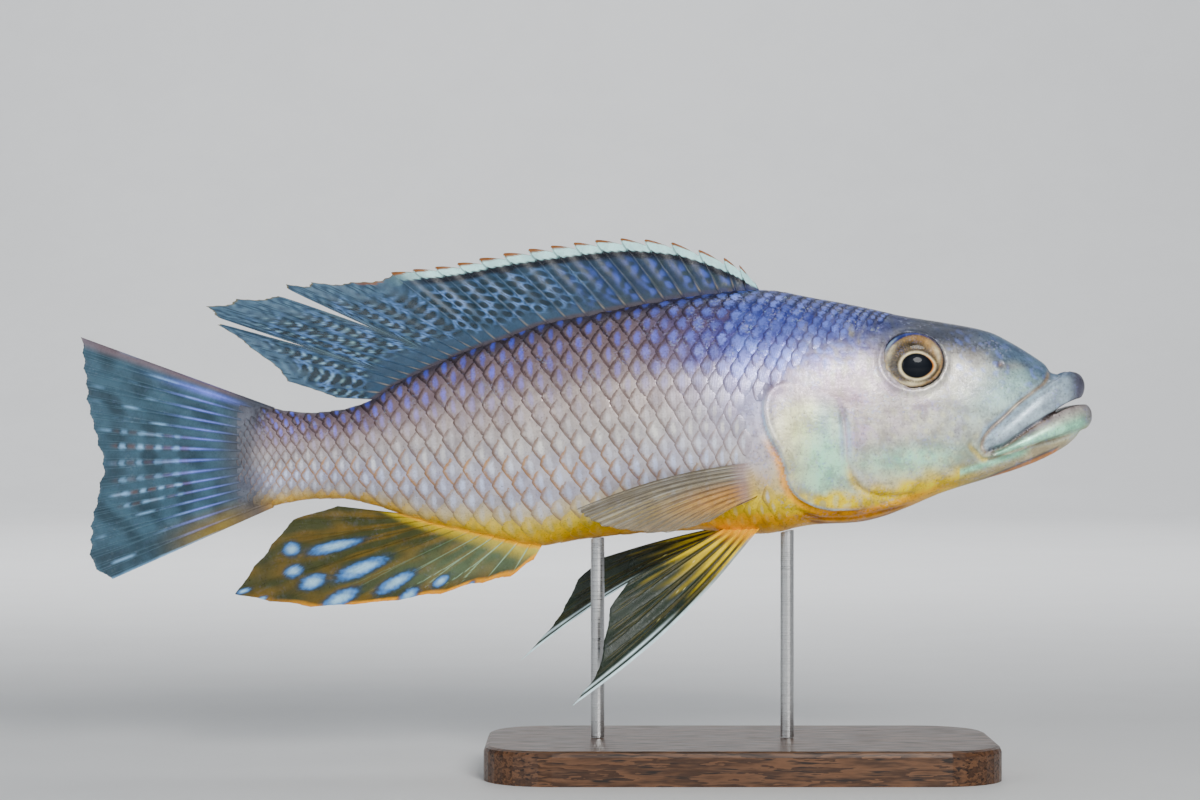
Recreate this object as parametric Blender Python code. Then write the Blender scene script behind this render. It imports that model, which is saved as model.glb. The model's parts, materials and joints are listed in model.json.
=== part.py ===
"""Life-size display model of a big-mouthed Malawi cichlid swimming level, held over a flat base by two rods.

X runs forward along the fish, Y to its left and Z up. The origin is the centre of the base's underside.
The fish is measured the way an ichthyologist does it: a "station" is the distance in millimetres behind the
front of the snout, and a "height" is the distance in millimetres above the base's underside.
"""

import math

import bmesh
import bpy
import numpy as np

MM = 0.001  # metres in a millimetre
GAP = 0.3  # clearance between pieces that touch
WELD = 2e-6  # corners closer than this, in metres, are one
SNOUT_X = 104.0  # where station 0 lies along X, which puts the base under the fish's weight

# Outlines of the trunk and head, as (station, height), lips left out
BACK = [(3, 112.4), (5, 114.3), (8, 116.2), (12.3, 119.2), (15, 121.3), (18.3, 123.5), (23.6, 126.7), (30.6, 130.1),
        (44.5, 132.9), (55.2, 134.6), (69, 137.5), (81, 139.9), (98, 142.8), (114.9, 141.2), (136, 137.7),
        (146.5, 135.6), (162.8, 132.3), (173.7, 128.2), (184.6, 124.6), (195.6, 119.8), (206.5, 114.3),
        (214.2, 109.5), (221.9, 107.3), (230.8, 106.5), (239.3, 107.3), (244.9, 108.9), (247, 109.7)]
BELLY = [(3, 101.5), (5, 98.6), (12.3, 93.6), (21.8, 89.6), (30.6, 86.8), (44.5, 82.4), (55.2, 77.9), (62, 75.4),
         (69.1, 73.8), (81.2, 73), (98, 70.2), (114.9, 71.3), (136, 70.1), (151, 68.6), (162.8, 66.8), (173.7, 68.7),
         (184.6, 71.1), (195.6, 73.5), (206.5, 76.9), (214.2, 79.2), (221.9, 80.5), (230.8, 80.2), (239.3, 78.8),
         (244.9, 77.4), (247, 76.7)]
HALF_WIDTH = [(3, 3.4), (6, 6.2), (10, 8.8), (20, 12.2), (31, 14.2), (50, 16.6), (70, 19.2),
              (90, 20.6), (110, 20.2), (135, 18.4), (162, 14.8), (190, 10.6), (213, 7.4), (234, 5),
              (247, 3.4)]
WIDEST = [(1, 0.5), (20, 0.4), (50, 0.43), (80, 0.46), (110, 0.5), (160, 0.52), (247, 0.5)]
UPPER_FULLNESS = [(1, 2.2), (25, 2.3), (50, 2.6), (80, 2.2), (100, 1.9), (150, 1.8), (213, 1.9), (247, 2.2)]
LOWER_FULLNESS = [(1, 2.2), (25, 2), (50, 2.1), (80, 2.3), (110, 2.3), (150, 2), (200, 1.9), (247, 2.2)]
BODY_START, BODY_END = 3.0, 247.0
HEAD_END = 98.0
HEAD_STEP, TRUNK_STEP = 2.9, 4.6  # spacing of the sections
SNOUT_CROWDING = 1.35  # above 1, the sections of the head crowd towards the snout
SECTION_POINTS = 28
TRUNK_SPLIT = 208.0  # station where the torso gives way to the tail's stem
CLEAR_OUT, CLEAR_BELOW, CLEAR_ABOVE = 60.0, 60.0, 160.0  # reach of the cutters to the side, down and up

# Mouth: the line between the lips as (station, height), and how far it stands open
MOUTH_LINE = [(-8, 109.8), (0.8, 109.7), (4.6, 109.3), (8.1, 108.2), (15.1, 104), (21.3, 100.3), (28, 96.4),
              (31.5, 95), (34.5, 94)]
GAPE = [(-8, 2.2), (1, 1.9), (9, 1.2), (17, 0.3), (35, 0.3)]
JAW_REAR = [(38, 90), (41, 84), (42.5, 78)]
UPPER_LIP_FRONT, LOWER_LIP_FRONT = 4.9, 2.9
UPPER_LIP_HEIGHT = [(4.9, 113.9), (7, 113.4), (12, 110.8), (18.4, 107), (27.6, 100.4), (33, 97.2)]
LOWER_LIP_HEIGHT = [(2.9, 105.2), (5, 104.8), (14.6, 100.8), (21.7, 97.4), (28.4, 94.6), (33, 93.2)]
# half-height and half-thickness of each lip, from the front of the mouth at 0 to its corner at 1
UPPER_LIP_TALL = [(0, 3.4), (0.2, 3.7), (0.42, 4.9), (0.6, 4.7), (0.9, 3.6), (1, 2)]
UPPER_LIP_THICK = [(0, 2.9), (0.5, 2.5), (0.9, 1.6), (1, 0.8)]
LOWER_LIP_TALL = [(0, 4.1), (0.5, 3.3), (0.9, 1.9), (1, 1)]
LOWER_LIP_THICK = [(0, 3.3), (0.5, 2.5), (0.9, 1.3), (1, 0.6)]
LIP_CORNER, LIP_SPREAD = 33.0, 13.1  # station and half-width of the mouth's corners
LIP_BEND = math.radians(84)  # how far each half of a lip turns from the front to the corner
LIP_SIDES, LIP_STEPS = 10, 22

# Gill cover as a closed outline, and the shoulder line down which the head meets the torso
GILL_COVER = [(76.5, 110.2), (81.5, 112.5), (87.3, 114.2), (92.2, 115.4), (95.4, 114.5), (97.7, 111.6),
              (98.6, 107.5), (98, 103.5), (96, 98.2), (93.4, 93.9), (91.9, 90.1), (91, 86.1), (89, 82.6),
              (86.4, 80.5), (82, 78.5), (76.8, 77.6), (71, 77.8), (68.5, 80.6), (70.4, 84.6), (72.7, 88.4),
              (73.8, 92.4), (74.1, 98.2), (74.7, 104)]
GILL_COVER_PROUD = 0.8  # how far it stands out from the flank
GILL_COVER_INNER = 8.0  # distance of its inner face from the middle
SHOULDER = [(81, 160), (83, 141), (87.5, 126), (90.5, 119), (91.5, 100), (88.5, 84), (85.5, 77), (84.5, 60)]

EYE_STATION, EYE_HEIGHT = 54.2, 121.4
EYE_RADIUS, EYE_DEPTH = 8.8, 4.2
EYE_SEGMENTS = 20
EYE_OUT = 13.9  # distance of the eyeball's centre from the middle
EYE_UPTURN = math.radians(9)
NOSTRIL_STATION, NOSTRIL_HEIGHT, NOSTRIL_RADIUS = 29.7, 120.7, 0.9

# Fins: how thick the web and the rays are, from the middle of the fin to its face
WEB_HALF, RAY_HALF, ROOT_HALF = 0.26, 0.5, 0.7
RAY_SIDE = 0.2  # where a ridge ends, as a share of the space between two rays
ROOT_DEPTH = 1.2  # how far a fin starts inside the body, before it is trimmed to the skin
ROOT_SHARE = 0.12  # share of a ray's length over which its fleshy root thins out
RAY_TAPER = 0.75  # share of a ridge's height that is lost on the way to the tip
ROW_CROWDING = 1.15  # above 1, the rows of a fin crowd towards its root
MEDIAN_ROWS, PELVIC_ROWS = 7, 9
DORSAL_SAG, ANAL_SAG, CAUDAL_SAG, PAIRED_SAG = 0.04, 0.03, 0.012, 0.03  # share of the length the web falls short

DORSAL_SOFT, DORSAL_END = 11, 213.0
# each spine of the back fin: station of its root, then station and height of its tip
DORSAL_SPINES = [(98.5, 100.5, 146.5), (102, 104.5, 150.2), (105.5, 109.1, 152.2), (110, 116.7, 154.6),
                 (115.2, 124.8, 156.8), (120.7, 132.7, 157.5), (126.2, 139.8, 157.8), (131.8, 147.3, 157.2),
                 (137.4, 153.6, 156.4), (143.5, 160.4, 155.5), (149.3, 167, 154.5), (155.1, 174.5, 153.2),
                 (160.9, 181.6, 151.7), (166, 188, 150.3), (171.4, 194.5, 149.2), (175.8, 201, 148.5),
                 (179.9, 207.5, 147.6)]
DORSAL_SOFT_TIPS = [(220, 145.3), (231, 144.9), (239, 144.5), (243, 140.6), (253.5, 140), (263.4, 138.1),
                    (259.5, 135.2), (258.9, 132.3), (249, 125.5), (239, 115.6), (224, 110.6)]
DORSAL_CLEFTS = {3: 0.52, 7: 0.58}  # soft rays before which the web is split, and how much of it is left
LAPPET_DROP = 1.3  # how far the edge steps down behind each spine

ANAL_START, ANAL_END = 162.5, 205.5
ANAL_TIPS = [(165.3, 62), (172.3, 56.9), (180.5, 55.2), (192.8, 52.2), (205.7, 50.2), (219, 49), (231, 48.6),
             (243, 50.3), (253.8, 52.4), (248.4, 60.6), (243.3, 67.1), (236.4, 74.6), (223, 78.6)]

CAUDAL_RAYS = 17
CAUDAL_ROOT = [(0, 243, 108.2), (0.5, 245.5, 92.8), (1, 243, 77.6)]
CAUDAL_TIPS = [(0, 299, 128.6), (0.07, 298.6, 123.4), (0.25, 297.3, 110.2), (0.42, 294.4, 98), (0.5, 292.5, 91),
               (0.58, 293.6, 84), (0.72, 295.9, 74.5), (0.85, 296.4, 66), (0.95, 294, 59), (1, 289.5, 56.9)]

PELVIC_STATION, PELVIC_ROOT_LENGTH, PELVIC_OUT = 99.4, 9.0, 7.0
PELVIC_INWARD, PELVIC_SUNK = 2.5, 1.5  # how far its root nears the middle, and lies above the belly line
RIGHT_PELVIC_TIPS = [(153.6, 21, 19.2), (150.5, 24.9, 18.4), (146.4, 30.6, 17), (144.6, 39.6, 15.5),
                     (142.5, 49.1, 13.5), (137, 57.1, 11)]
LEFT_PELVIC_TIPS = [(169.6, 31, 20.2), (163.2, 38.1, 18.6), (159, 43.1, 17), (156.2, 48.1, 15.5), (152, 56.1, 13.5),
                    (145, 62.6, 10.5)]
RIGHT_PELVIC_BOW, LEFT_PELVIC_BOW = (-3.2, 0), (4.2, 1.4)  # how far the first and last ray bend

PECTORAL_RAYS = 11
PECTORAL_ROOT = [(0, 99.5, 91.6), (1, 98, 82)]
PECTORAL_TIPS = [(0, 152.2, 78.2, 23.5), (0.25, 149.5, 75.8, 24), (0.5, 141, 72.4, 24), (0.75, 129, 71.4, 23),
                 (1, 114, 74.2, 20.5)]
PECTORAL_BOW, PECTORAL_SUNK = 2.4, 0.8

BASE_LENGTH, BASE_WIDTH, BASE_THICKNESS = 150.0, 80.0, 10.0
BASE_CORNER, BASE_BEVEL = 20.0, 1.6
CORNER_SEGMENTS, BEVEL_SEGMENTS = 8, 2
ROD_RADIUS, ROD_SIDES, ROD_SUNK = 2.0, 16, 3.0
SHARP_ANGLE = math.radians(35)  # edges that turn more than this look sharp
ROUGHNESS = 0.35
ROD_STATIONS = {"stand_rod_front": 90.0, "stand_rod_rear": 146.0}

COLOURS = {
    "head": (0.66, 0.62, 0.6), "lower_jaw": (0.6, 0.72, 0.66), "gill_cover": (0.74, 0.76, 0.66),
    "torso": (0.62, 0.55, 0.58), "tail_stem": (0.6, 0.55, 0.55), "dorsal_fin": (0.12, 0.22, 0.4),
    "anal_fin": (0.32, 0.26, 0.05), "caudal_fin": (0.2, 0.3, 0.42), "pelvic_fin": (0.16, 0.2, 0.12),
    "pectoral_fin": (0.5, 0.45, 0.38), "eye": (0.5, 0.42, 0.25), "stand_base": (0.16, 0.09, 0.05),
    "stand_rod": (0.7, 0.7, 0.7),
}


def curve_through(points):
    """A smooth function of x through points (x, y) that never swings past them."""
    x, y = (np.array(v, float) for v in zip(*points))
    step = np.diff(x)
    slope = np.diff(y) / step
    tangent = np.zeros(len(x))
    same = slope[:-1] * slope[1:] > 0
    weight_a, weight_b = 2 * step[1:] + step[:-1], step[1:] + 2 * step[:-1]
    with np.errstate(divide="ignore", invalid="ignore"):
        inner = (weight_a + weight_b) / (weight_a / slope[:-1] + weight_b / slope[1:])
    tangent[1:-1] = np.where(same, inner, 0)
    tangent[0], tangent[-1] = slope[0], slope[-1]

    def value(at):
        at = np.clip(at, x[0], x[-1])
        i = np.clip(np.searchsorted(x, at, side="right") - 1, 0, len(step) - 1)
        t = (at - x[i]) / step[i]
        rise = y[i] * (2 * t**3 - 3 * t**2 + 1) + y[i + 1] * (3 * t**2 - 2 * t**3)
        return rise + step[i] * (tangent[i] * (t**3 - 2 * t**2 + t) + tangent[i + 1] * (t**3 - t**2))

    return value


back, belly = curve_through(BACK), curve_through(BELLY)
half_width, widest = curve_through(HALF_WIDTH), curve_through(WIDEST)
upper_fullness, lower_fullness = curve_through(UPPER_FULLNESS), curve_through(LOWER_FULLNESS)


# Stations of the sections, which crowd towards the snout
HEAD_SHARES = np.linspace(0, 1, round((HEAD_END - BODY_START) / HEAD_STEP), endpoint=False)
SECTIONS = [*(BODY_START + (HEAD_END - BODY_START) * HEAD_SHARES**SNOUT_CROWDING),
            *np.linspace(HEAD_END, BODY_END, round((BODY_END - HEAD_END) / TRUNK_STEP))]


def place(station, across, height):
    """A point in metres, from a station, a distance to the fish's left and a height in millimetres."""
    return ((SNOUT_X - station) * MM, across * MM, height * MM)


def skin_out(station, height):
    """How far from the middle the flank lies at a station and height."""
    low, high = belly(station), back(station)
    middle = low + widest(station) * (high - low)
    up = height > middle
    power = upper_fullness(station) if up else lower_fullness(station)
    reach = (high - middle) if up else (middle - low)
    share = min(abs(height - middle) / reach, 0.999)
    return half_width(station) * (1 - share**power) ** (1 / power)


def body_ring(station, swell):
    """One section of the body, as points in metres."""
    low, high = belly(station) - swell, back(station) + swell
    middle = low + widest(station) * (high - low)
    wide = half_width(station) + swell
    ring = []
    for k in range(SECTION_POINTS):
        angle = 2 * math.pi * k / SECTION_POINTS
        side, lift = math.sin(angle), math.cos(angle)
        power = upper_fullness(station) if lift > 0 else lower_fullness(station)
        reach = (high - middle) if lift > 0 else (middle - low)
        size = (abs(side) ** power + abs(lift) ** power) ** (-1 / power)
        ring.append(place(station, wide * side * size, middle + reach * lift * size))
    return ring


def mesh_object(name, points, faces):
    mesh = bpy.data.meshes.new(name)
    mesh.from_pydata(points, [], faces)
    mesh.update()
    obj = bpy.data.objects.new(name, mesh)
    bpy.context.scene.collection.objects.link(obj)
    face_outwards(obj)
    return obj


def face_outwards(obj):
    work = bmesh.new()
    work.from_mesh(obj.data)
    bmesh.ops.recalc_face_normals(work, faces=work.faces)
    work.to_mesh(obj.data)
    work.free()


def skinned(name, rings):
    """A closed solid through rings of points, with a flat cap on each end."""
    count = len(rings[0])
    points = [p for ring in rings for p in ring]
    faces = []
    for r in range(len(rings) - 1):
        for k in range(count):
            a, b = r * count + k, r * count + (k + 1) % count
            faces += [(a, b, b + count), (a, b + count, a + count)]
    faces.append(tuple(range(count))[::-1])
    faces.append(tuple(range(len(points) - count, len(points))))
    return mesh_object(name, points, faces)


def body(name, swell=0.0, start=BODY_START, end=BODY_END):
    """The whole head and trunk, swollen by some millimetres where it trims what touches it."""
    inner = [s for s in SECTIONS if start < s < end]
    return skinned(name, [body_ring(s, swell) for s in [start, *inner, end]])


def prism(name, outline, low=-CLEAR_OUT, high=CLEAR_OUT):
    """A cutter with this side-view outline, running across the fish from low to high."""
    rings = [[place(s, across, z) for s, z in outline] for across in (low, high)]
    obj = skinned(name, rings)
    obj.hide_render = True
    return obj


def grown(outline, by):
    """A closed outline moved outwards by some millimetres."""
    points = np.array(outline, float)
    along = np.roll(points, -1, 0) - np.roll(points, 1, 0)
    normal = np.stack([along[:, 1], -along[:, 0]], 1)
    normal /= np.linalg.norm(normal, axis=1, keepdims=True)
    turn = points[:, 0] * np.roll(points[:, 1], -1) - points[:, 1] * np.roll(points[:, 0], -1)
    return points + normal * by * math.copysign(1, turn.sum())


def remove(*objects):
    for obj in objects:
        bpy.data.objects.remove(obj)


def settle(obj):
    """Applies the object's modifiers."""
    graph = bpy.context.evaluated_depsgraph_get()
    mesh = bpy.data.meshes.new_from_object(obj.evaluated_get(graph))
    obj.modifiers.clear()
    obj.data = mesh


def boolean(obj, operation, tool):
    """Cuts, keeps or joins with another solid, which is used up."""
    step = obj.modifiers.new(operation.title(), "BOOLEAN")
    step.operation = operation
    step.object = tool
    settle(obj)
    remove(tool)


def keep_largest(obj):
    """Keeps the one closed surface with the greatest volume."""
    work = bmesh.new()
    work.from_mesh(obj.data)
    bmesh.ops.remove_doubles(work, verts=work.verts, dist=WELD)
    bmesh.ops.triangulate(work, faces=work.faces)
    bmesh.ops.dissolve_degenerate(work, edges=work.edges, dist=WELD)
    bmesh.ops.triangulate(work, faces=work.faces)
    left, pieces = set(work.verts), []
    while left:
        piece, front = set(), [left.pop()]
        while front:
            vertex = front.pop()
            piece.add(vertex)
            for edge in vertex.link_edges:
                other = edge.other_vert(vertex)
                if other in left:
                    left.discard(other)
                    front.append(other)
        faces = {f for v in piece for f in v.link_faces}
        volume = sum(f.verts[0].co.dot(f.verts[1].co.cross(f.verts[2].co)) for f in faces)
        pieces.append((volume, piece))
    pieces.sort(key=lambda item: item[0])
    spare = [v for _, piece in pieces[:-1] for v in piece]
    bmesh.ops.delete(work, geom=spare, context="VERTS")
    work.to_mesh(obj.data)
    work.free()


def jaw_space(clearance):
    """The side-view outline of the lower jaw's room, its top opened by the gape and its rear by a gap."""
    gape = curve_through(GAPE)
    top = [(s, z - gape(s) / 2 + clearance * gape(s)) for s, z in MOUTH_LINE]
    rear = [(s + clearance * GAP, z) for s, z in JAW_REAR]
    return [*top, *rear, (rear[-1][0], CLEAR_BELOW), (top[0][0], CLEAR_BELOW)]


def lip(name, front, heights, tall, thick):
    """A lip: a rounded bolster that runs from one corner of the mouth round the front to the other."""
    height, tall, thick = curve_through(heights), curve_through(tall), curve_through(thick)
    rings = []
    for bend in np.linspace(-LIP_BEND, LIP_BEND, LIP_STEPS):
        station = LIP_CORNER - (LIP_CORNER - front) * math.cos(bend)
        out = np.array([-math.cos(bend), math.sin(bend)])  # towards the nose, and across
        share = abs(bend) / LIP_BEND
        up, wide = tall(share), thick(share)
        ring = []
        for k in range(LIP_SIDES):
            angle = 2 * math.pi * k / LIP_SIDES
            push = wide * math.cos(angle)
            ring.append(place(station + out[0] * push, LIP_SPREAD * math.sin(bend) + out[1] * push,
                              height(station) + up * math.sin(angle)))
        rings.append(ring)
    return skinned(name, rings)


def make_head():
    head = body("head", end=106)
    boolean(head, "UNION", lip("upper_lip", UPPER_LIP_FRONT, UPPER_LIP_HEIGHT, UPPER_LIP_TALL, UPPER_LIP_THICK))
    boolean(head, "DIFFERENCE", prism("jaw_room", jaw_space(1)))
    torso_side = [*SHOULDER, (130, CLEAR_BELOW), (130, CLEAR_ABOVE)]
    boolean(head, "DIFFERENCE", prism("torso_room", grown(torso_side, GAP)))
    for side in (-1, 1):
        reach = sorted((side * (GILL_COVER_INNER - GAP), side * CLEAR_OUT))
        boolean(head, "DIFFERENCE", prism("gill_room", grown(GILL_COVER, GAP), *reach))
        boolean(head, "DIFFERENCE", eyeball("socket", side, GAP))
        boolean(head, "DIFFERENCE", nostril(side))
    keep_largest(head)


def make_lower_jaw():
    jaw = body("lower_jaw", end=60)
    boolean(jaw, "UNION", lip("lower_lip", LOWER_LIP_FRONT, LOWER_LIP_HEIGHT, LOWER_LIP_TALL, LOWER_LIP_THICK))
    boolean(jaw, "INTERSECT", prism("jaw_space", jaw_space(0)))
    keep_largest(jaw)


def make_gill_cover(name, side):
    cover = body(name, swell=GILL_COVER_PROUD, start=50, end=120)
    reach = sorted((side * GILL_COVER_INNER, side * CLEAR_OUT))
    boolean(cover, "INTERSECT", prism("cover_space", GILL_COVER, *reach))
    keep_largest(cover)


def make_trunk():
    torso = body("torso", start=60)
    torso_space = [*SHOULDER, (TRUNK_SPLIT, CLEAR_BELOW), (TRUNK_SPLIT, CLEAR_ABOVE)]
    boolean(torso, "INTERSECT", prism("torso_space", torso_space))
    boolean(torso, "DIFFERENCE", prism("gill_room", grown(GILL_COVER, GAP)))
    keep_largest(torso)
    stem = body("tail_stem", start=150)
    stem_start = TRUNK_SPLIT + GAP
    low, high = CLEAR_BELOW, CLEAR_ABOVE
    stem_space = [(stem_start, high), (stem_start, low), (260, low), (260, high)]
    boolean(stem, "INTERSECT", prism("stem_space", stem_space))
    keep_largest(stem)


def eyeball(name, side, extra=0.0):
    """One eye, a ball flattened towards the skull and turned a little upwards."""
    work = bmesh.new()
    bmesh.ops.create_uvsphere(work, u_segments=EYE_SEGMENTS, v_segments=EYE_SEGMENTS // 2, radius=1)
    mesh = bpy.data.meshes.new(name)
    work.to_mesh(mesh)
    work.free()
    obj = bpy.data.objects.new(name, mesh)
    bpy.context.scene.collection.objects.link(obj)
    obj.location = place(EYE_STATION, side * EYE_OUT, EYE_HEIGHT)
    radius, depth = (EYE_RADIUS + extra) * MM, (EYE_DEPTH + extra) * MM
    obj.scale = (radius, radius, depth)
    obj.rotation_euler = (math.pi / 2 + side * EYE_UPTURN, 0, 0)
    return obj


def nostril(side):
    work = bmesh.new()
    bmesh.ops.create_icosphere(work, subdivisions=2, radius=NOSTRIL_RADIUS * MM)
    mesh = bpy.data.meshes.new("nostril")
    work.to_mesh(mesh)
    work.free()
    obj = bpy.data.objects.new("nostril", mesh)
    bpy.context.scene.collection.objects.link(obj)
    out = skin_out(NOSTRIL_STATION, NOSTRIL_HEIGHT)
    obj.location = place(NOSTRIL_STATION, side * out, NOSTRIL_HEIGHT)
    return obj


def plate(name, middle, half, normal):
    """A thin solid about a grid of middle points, with the same triangles on both faces."""
    middle, half = np.array(middle, float), np.array(half, float)
    columns, rows = half.shape
    faces_at = [middle + normal * half[..., None], middle - normal * half[..., None]]
    points = [place(*p) for face in faces_at for p in face.reshape(-1, 3)]

    def at(face, i, j):
        return face * columns * rows + i * rows + j

    faces = []
    for i in range(columns - 1):
        for j in range(rows - 1):
            for face in (0, 1):
                a, b, c, d = at(face, i, j), at(face, i + 1, j), at(face, i + 1, j + 1), at(face, i, j + 1)
                faces += [(a, b, c), (a, c, d)]
    rim = [(i, 0) for i in range(columns)] + [(columns - 1, j) for j in range(1, rows)]
    rim += [(i, rows - 1) for i in range(columns - 2, -1, -1)] + [(0, j) for j in range(rows - 2, 0, -1)]
    for (i, j), (k, m) in zip(rim, rim[1:] + rim[:1]):
        faces += [(at(0, i, j), at(0, k, m), at(1, k, m)), (at(0, i, j), at(1, k, m), at(1, i, j))]
    return mesh_object(name, points, faces)


def fin(name, root, tip, rays, web_end, bow=(0, 0), rows=MEDIAN_ROWS):
    """A fin of rays joined by web, trimmed where it leaves the body.

    root(i) and tip(i) give the ends of the ray with number i, also between two rays. web_end(i) is the share
    of the length that is there at i. Each ray makes three columns: its ridge and the two sides of it. bow is
    how far the first and the last ray bend upwards.
    """
    columns = []
    for i in range(rays):
        offsets = [o for o in (-RAY_SIDE, 0, RAY_SIDE) if 0 <= i + o <= rays - 1]
        columns += [(i + o, o == 0) for o in offsets]
        columns += [(i + 0.5, False)] if i + 0.5 in web_end.clefts else []
    longest = max(math.dist(root(i), tip(i)) for i in range(rays))
    middle, half = [], []
    for at, ridge in columns:
        start, end = np.array(root(at), float), np.array(tip(at), float)
        along = end - start
        start = start - along / np.linalg.norm(along) * ROOT_DEPTH
        side = np.array([-along[2], 0, along[0]]) / np.linalg.norm(along[[0, 2]])
        bend = (bow[0] + (bow[1] - bow[0]) * at / (rays - 1)) * np.linalg.norm(along) / longest
        line, thick = [], []
        for v in np.linspace(0, 1, rows) ** ROW_CROWDING:
            share = v * web_end(at)
            line.append(start + (end - start) * share + side * bend * math.sin(math.pi * share))
            web = WEB_HALF + (ROOT_HALF - WEB_HALF) * math.exp(-((v / ROOT_SHARE) ** 2))
            thick.append(web + (RAY_HALF - WEB_HALF) * (1 - RAY_TAPER * v) * ridge)
        middle.append(line)
        half.append(thick)
    first = np.subtract(tip(0), root(0))
    last = np.subtract(tip(rays - 1), root(rays - 1))
    normal = np.cross(first, last)
    obj = plate(name, middle, half, normal / np.linalg.norm(normal))
    boolean(obj, "DIFFERENCE", body("skin", swell=GAP))
    keep_largest(obj)


class Web:
    """How much of the length between two rays the web fills: less half way, and little at a split."""

    def __init__(self, sag, clefts=None, steps=()):
        self.sag, self.clefts, self.steps = sag, clefts or {}, steps

    def __call__(self, at):
        if at in self.clefts:
            return self.clefts[at]
        between = abs(at - round(at))
        if round(at) in self.steps and at > round(at):
            return 1 - self.steps[round(at)]
        return 1 - self.sag * min(between / RAY_SIDE, 1)


def by_number(points, span):
    """Functions of the ray's number through points spread evenly over span."""
    numbers = np.linspace(0, span, len(points))
    return [curve_through(list(zip(numbers, values))) for values in zip(*points)]


def make_dorsal_fin():
    spines = len(DORSAL_SPINES)
    rays = spines + DORSAL_SOFT
    soft_roots = np.linspace(DORSAL_SPINES[-1][0], DORSAL_END, DORSAL_SOFT + 1)[1:]
    roots = [spine[0] for spine in DORSAL_SPINES] + list(soft_roots)
    tips = [spine[1:] for spine in DORSAL_SPINES] + DORSAL_SOFT_TIPS
    numbers = range(rays)
    root_at = curve_through(list(zip(numbers, roots)))

    def tip(at):
        low = min(int(at), rays - 2)
        share = at - low
        s, z = (a + (b - a) * share for a, b in zip(tips[low], tips[low + 1]))
        return s, 0, z

    lengths = [math.dist((roots[i], back(roots[i])), tips[i]) for i in numbers]
    steps = {i: LAPPET_DROP / lengths[i] for i in range(spines)}
    clefts = {spines + k - 0.5: left for k, left in DORSAL_CLEFTS.items()}
    web = Web(DORSAL_SAG, clefts, steps)
    fin("dorsal_fin", lambda i: (root_at(i), 0, back(root_at(i))), tip, rays, web)


def make_anal_fin():
    station, height = by_number(ANAL_TIPS, len(ANAL_TIPS) - 1)
    rays = len(ANAL_TIPS)

    def root(at):
        s = ANAL_START + (ANAL_END - ANAL_START) * at / (rays - 1)
        return s, 0, belly(s)

    fin("anal_fin", root, lambda i: (station(i), 0, height(i)), rays, Web(ANAL_SAG))


def make_caudal_fin():
    last = CAUDAL_RAYS - 1
    root_s, root_z, tip_s, tip_z = (
        curve_through([(p[0] * last, p[k]) for p in table]) for table in (CAUDAL_ROOT, CAUDAL_TIPS) for k in (1, 2))

    def root(at):
        return root_s(at), 0, root_z(at)

    fin("caudal_fin", root, lambda i: (tip_s(i), 0, tip_z(i)), CAUDAL_RAYS, Web(CAUDAL_SAG))


def make_pelvic_fin(name, side, tips, bow):
    station, height, out = by_number(tips, len(tips) - 1)
    last = len(tips) - 1

    def root(at):
        s = PELVIC_STATION + PELVIC_ROOT_LENGTH * at / last
        across = PELVIC_OUT - PELVIC_INWARD * at / last
        return s, side * across, belly(s) + PELVIC_SUNK

    web = Web(PAIRED_SAG)
    fin(name, root, lambda i: (station(i), side * out(i), height(i)), len(tips), web, bow, PELVIC_ROWS)


def make_pectoral_fin(name, side):
    last = PECTORAL_RAYS - 1
    root_s, root_z = (curve_through([(p[0] * last, p[k]) for p in PECTORAL_ROOT]) for k in (1, 2))
    tip_s, tip_z, tip_y = (curve_through([(p[0] * last, p[k]) for p in PECTORAL_TIPS]) for k in (1, 2, 3))

    def root(at):
        return root_s(at), side * (skin_out(root_s(at), root_z(at)) - PECTORAL_SUNK), root_z(at)

    web, bow = Web(PAIRED_SAG), (PECTORAL_BOW, PECTORAL_BOW)
    fin(name, root, lambda i: (tip_s(i), side * tip_y(i), tip_z(i)), PECTORAL_RAYS, web, bow)


def make_stand():
    bpy.ops.mesh.primitive_cube_add(size=1, location=(0, 0, BASE_THICKNESS / 2 * MM))
    base = bpy.context.object
    base.name = "stand_base"
    base.data.transform(np.diag([BASE_LENGTH * MM, BASE_WIDTH * MM, BASE_THICKNESS * MM, 1]).tolist())
    work = bmesh.new()
    work.from_mesh(base.data)
    upright = [e for e in work.edges if abs(e.verts[0].co.z - e.verts[1].co.z) > BASE_THICKNESS / 2 * MM]
    bmesh.ops.bevel(work, geom=upright, offset=BASE_CORNER * MM, segments=CORNER_SEGMENTS, affect="EDGES", profile=0.5)
    top = [e for e in work.edges if all(v.co.z > 0 for v in e.verts)]
    bmesh.ops.bevel(work, geom=top, offset=BASE_BEVEL * MM, segments=BEVEL_SEGMENTS, affect="EDGES", profile=0.5)
    work.to_mesh(base.data)
    work.free()
    for name, station in ROD_STATIONS.items():
        foot, head = BASE_THICKNESS + GAP, belly(station) + ROD_SUNK
        rings = []
        for height in (foot, head):
            turn = np.linspace(0, 2 * math.pi, ROD_SIDES, endpoint=False)
            rings.append([place(station + ROD_RADIUS * math.cos(a), ROD_RADIUS * math.sin(a), height) for a in turn])
        rod = skinned(name, rings)
        boolean(rod, "DIFFERENCE", body("skin", swell=GAP))
        keep_largest(rod)


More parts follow.
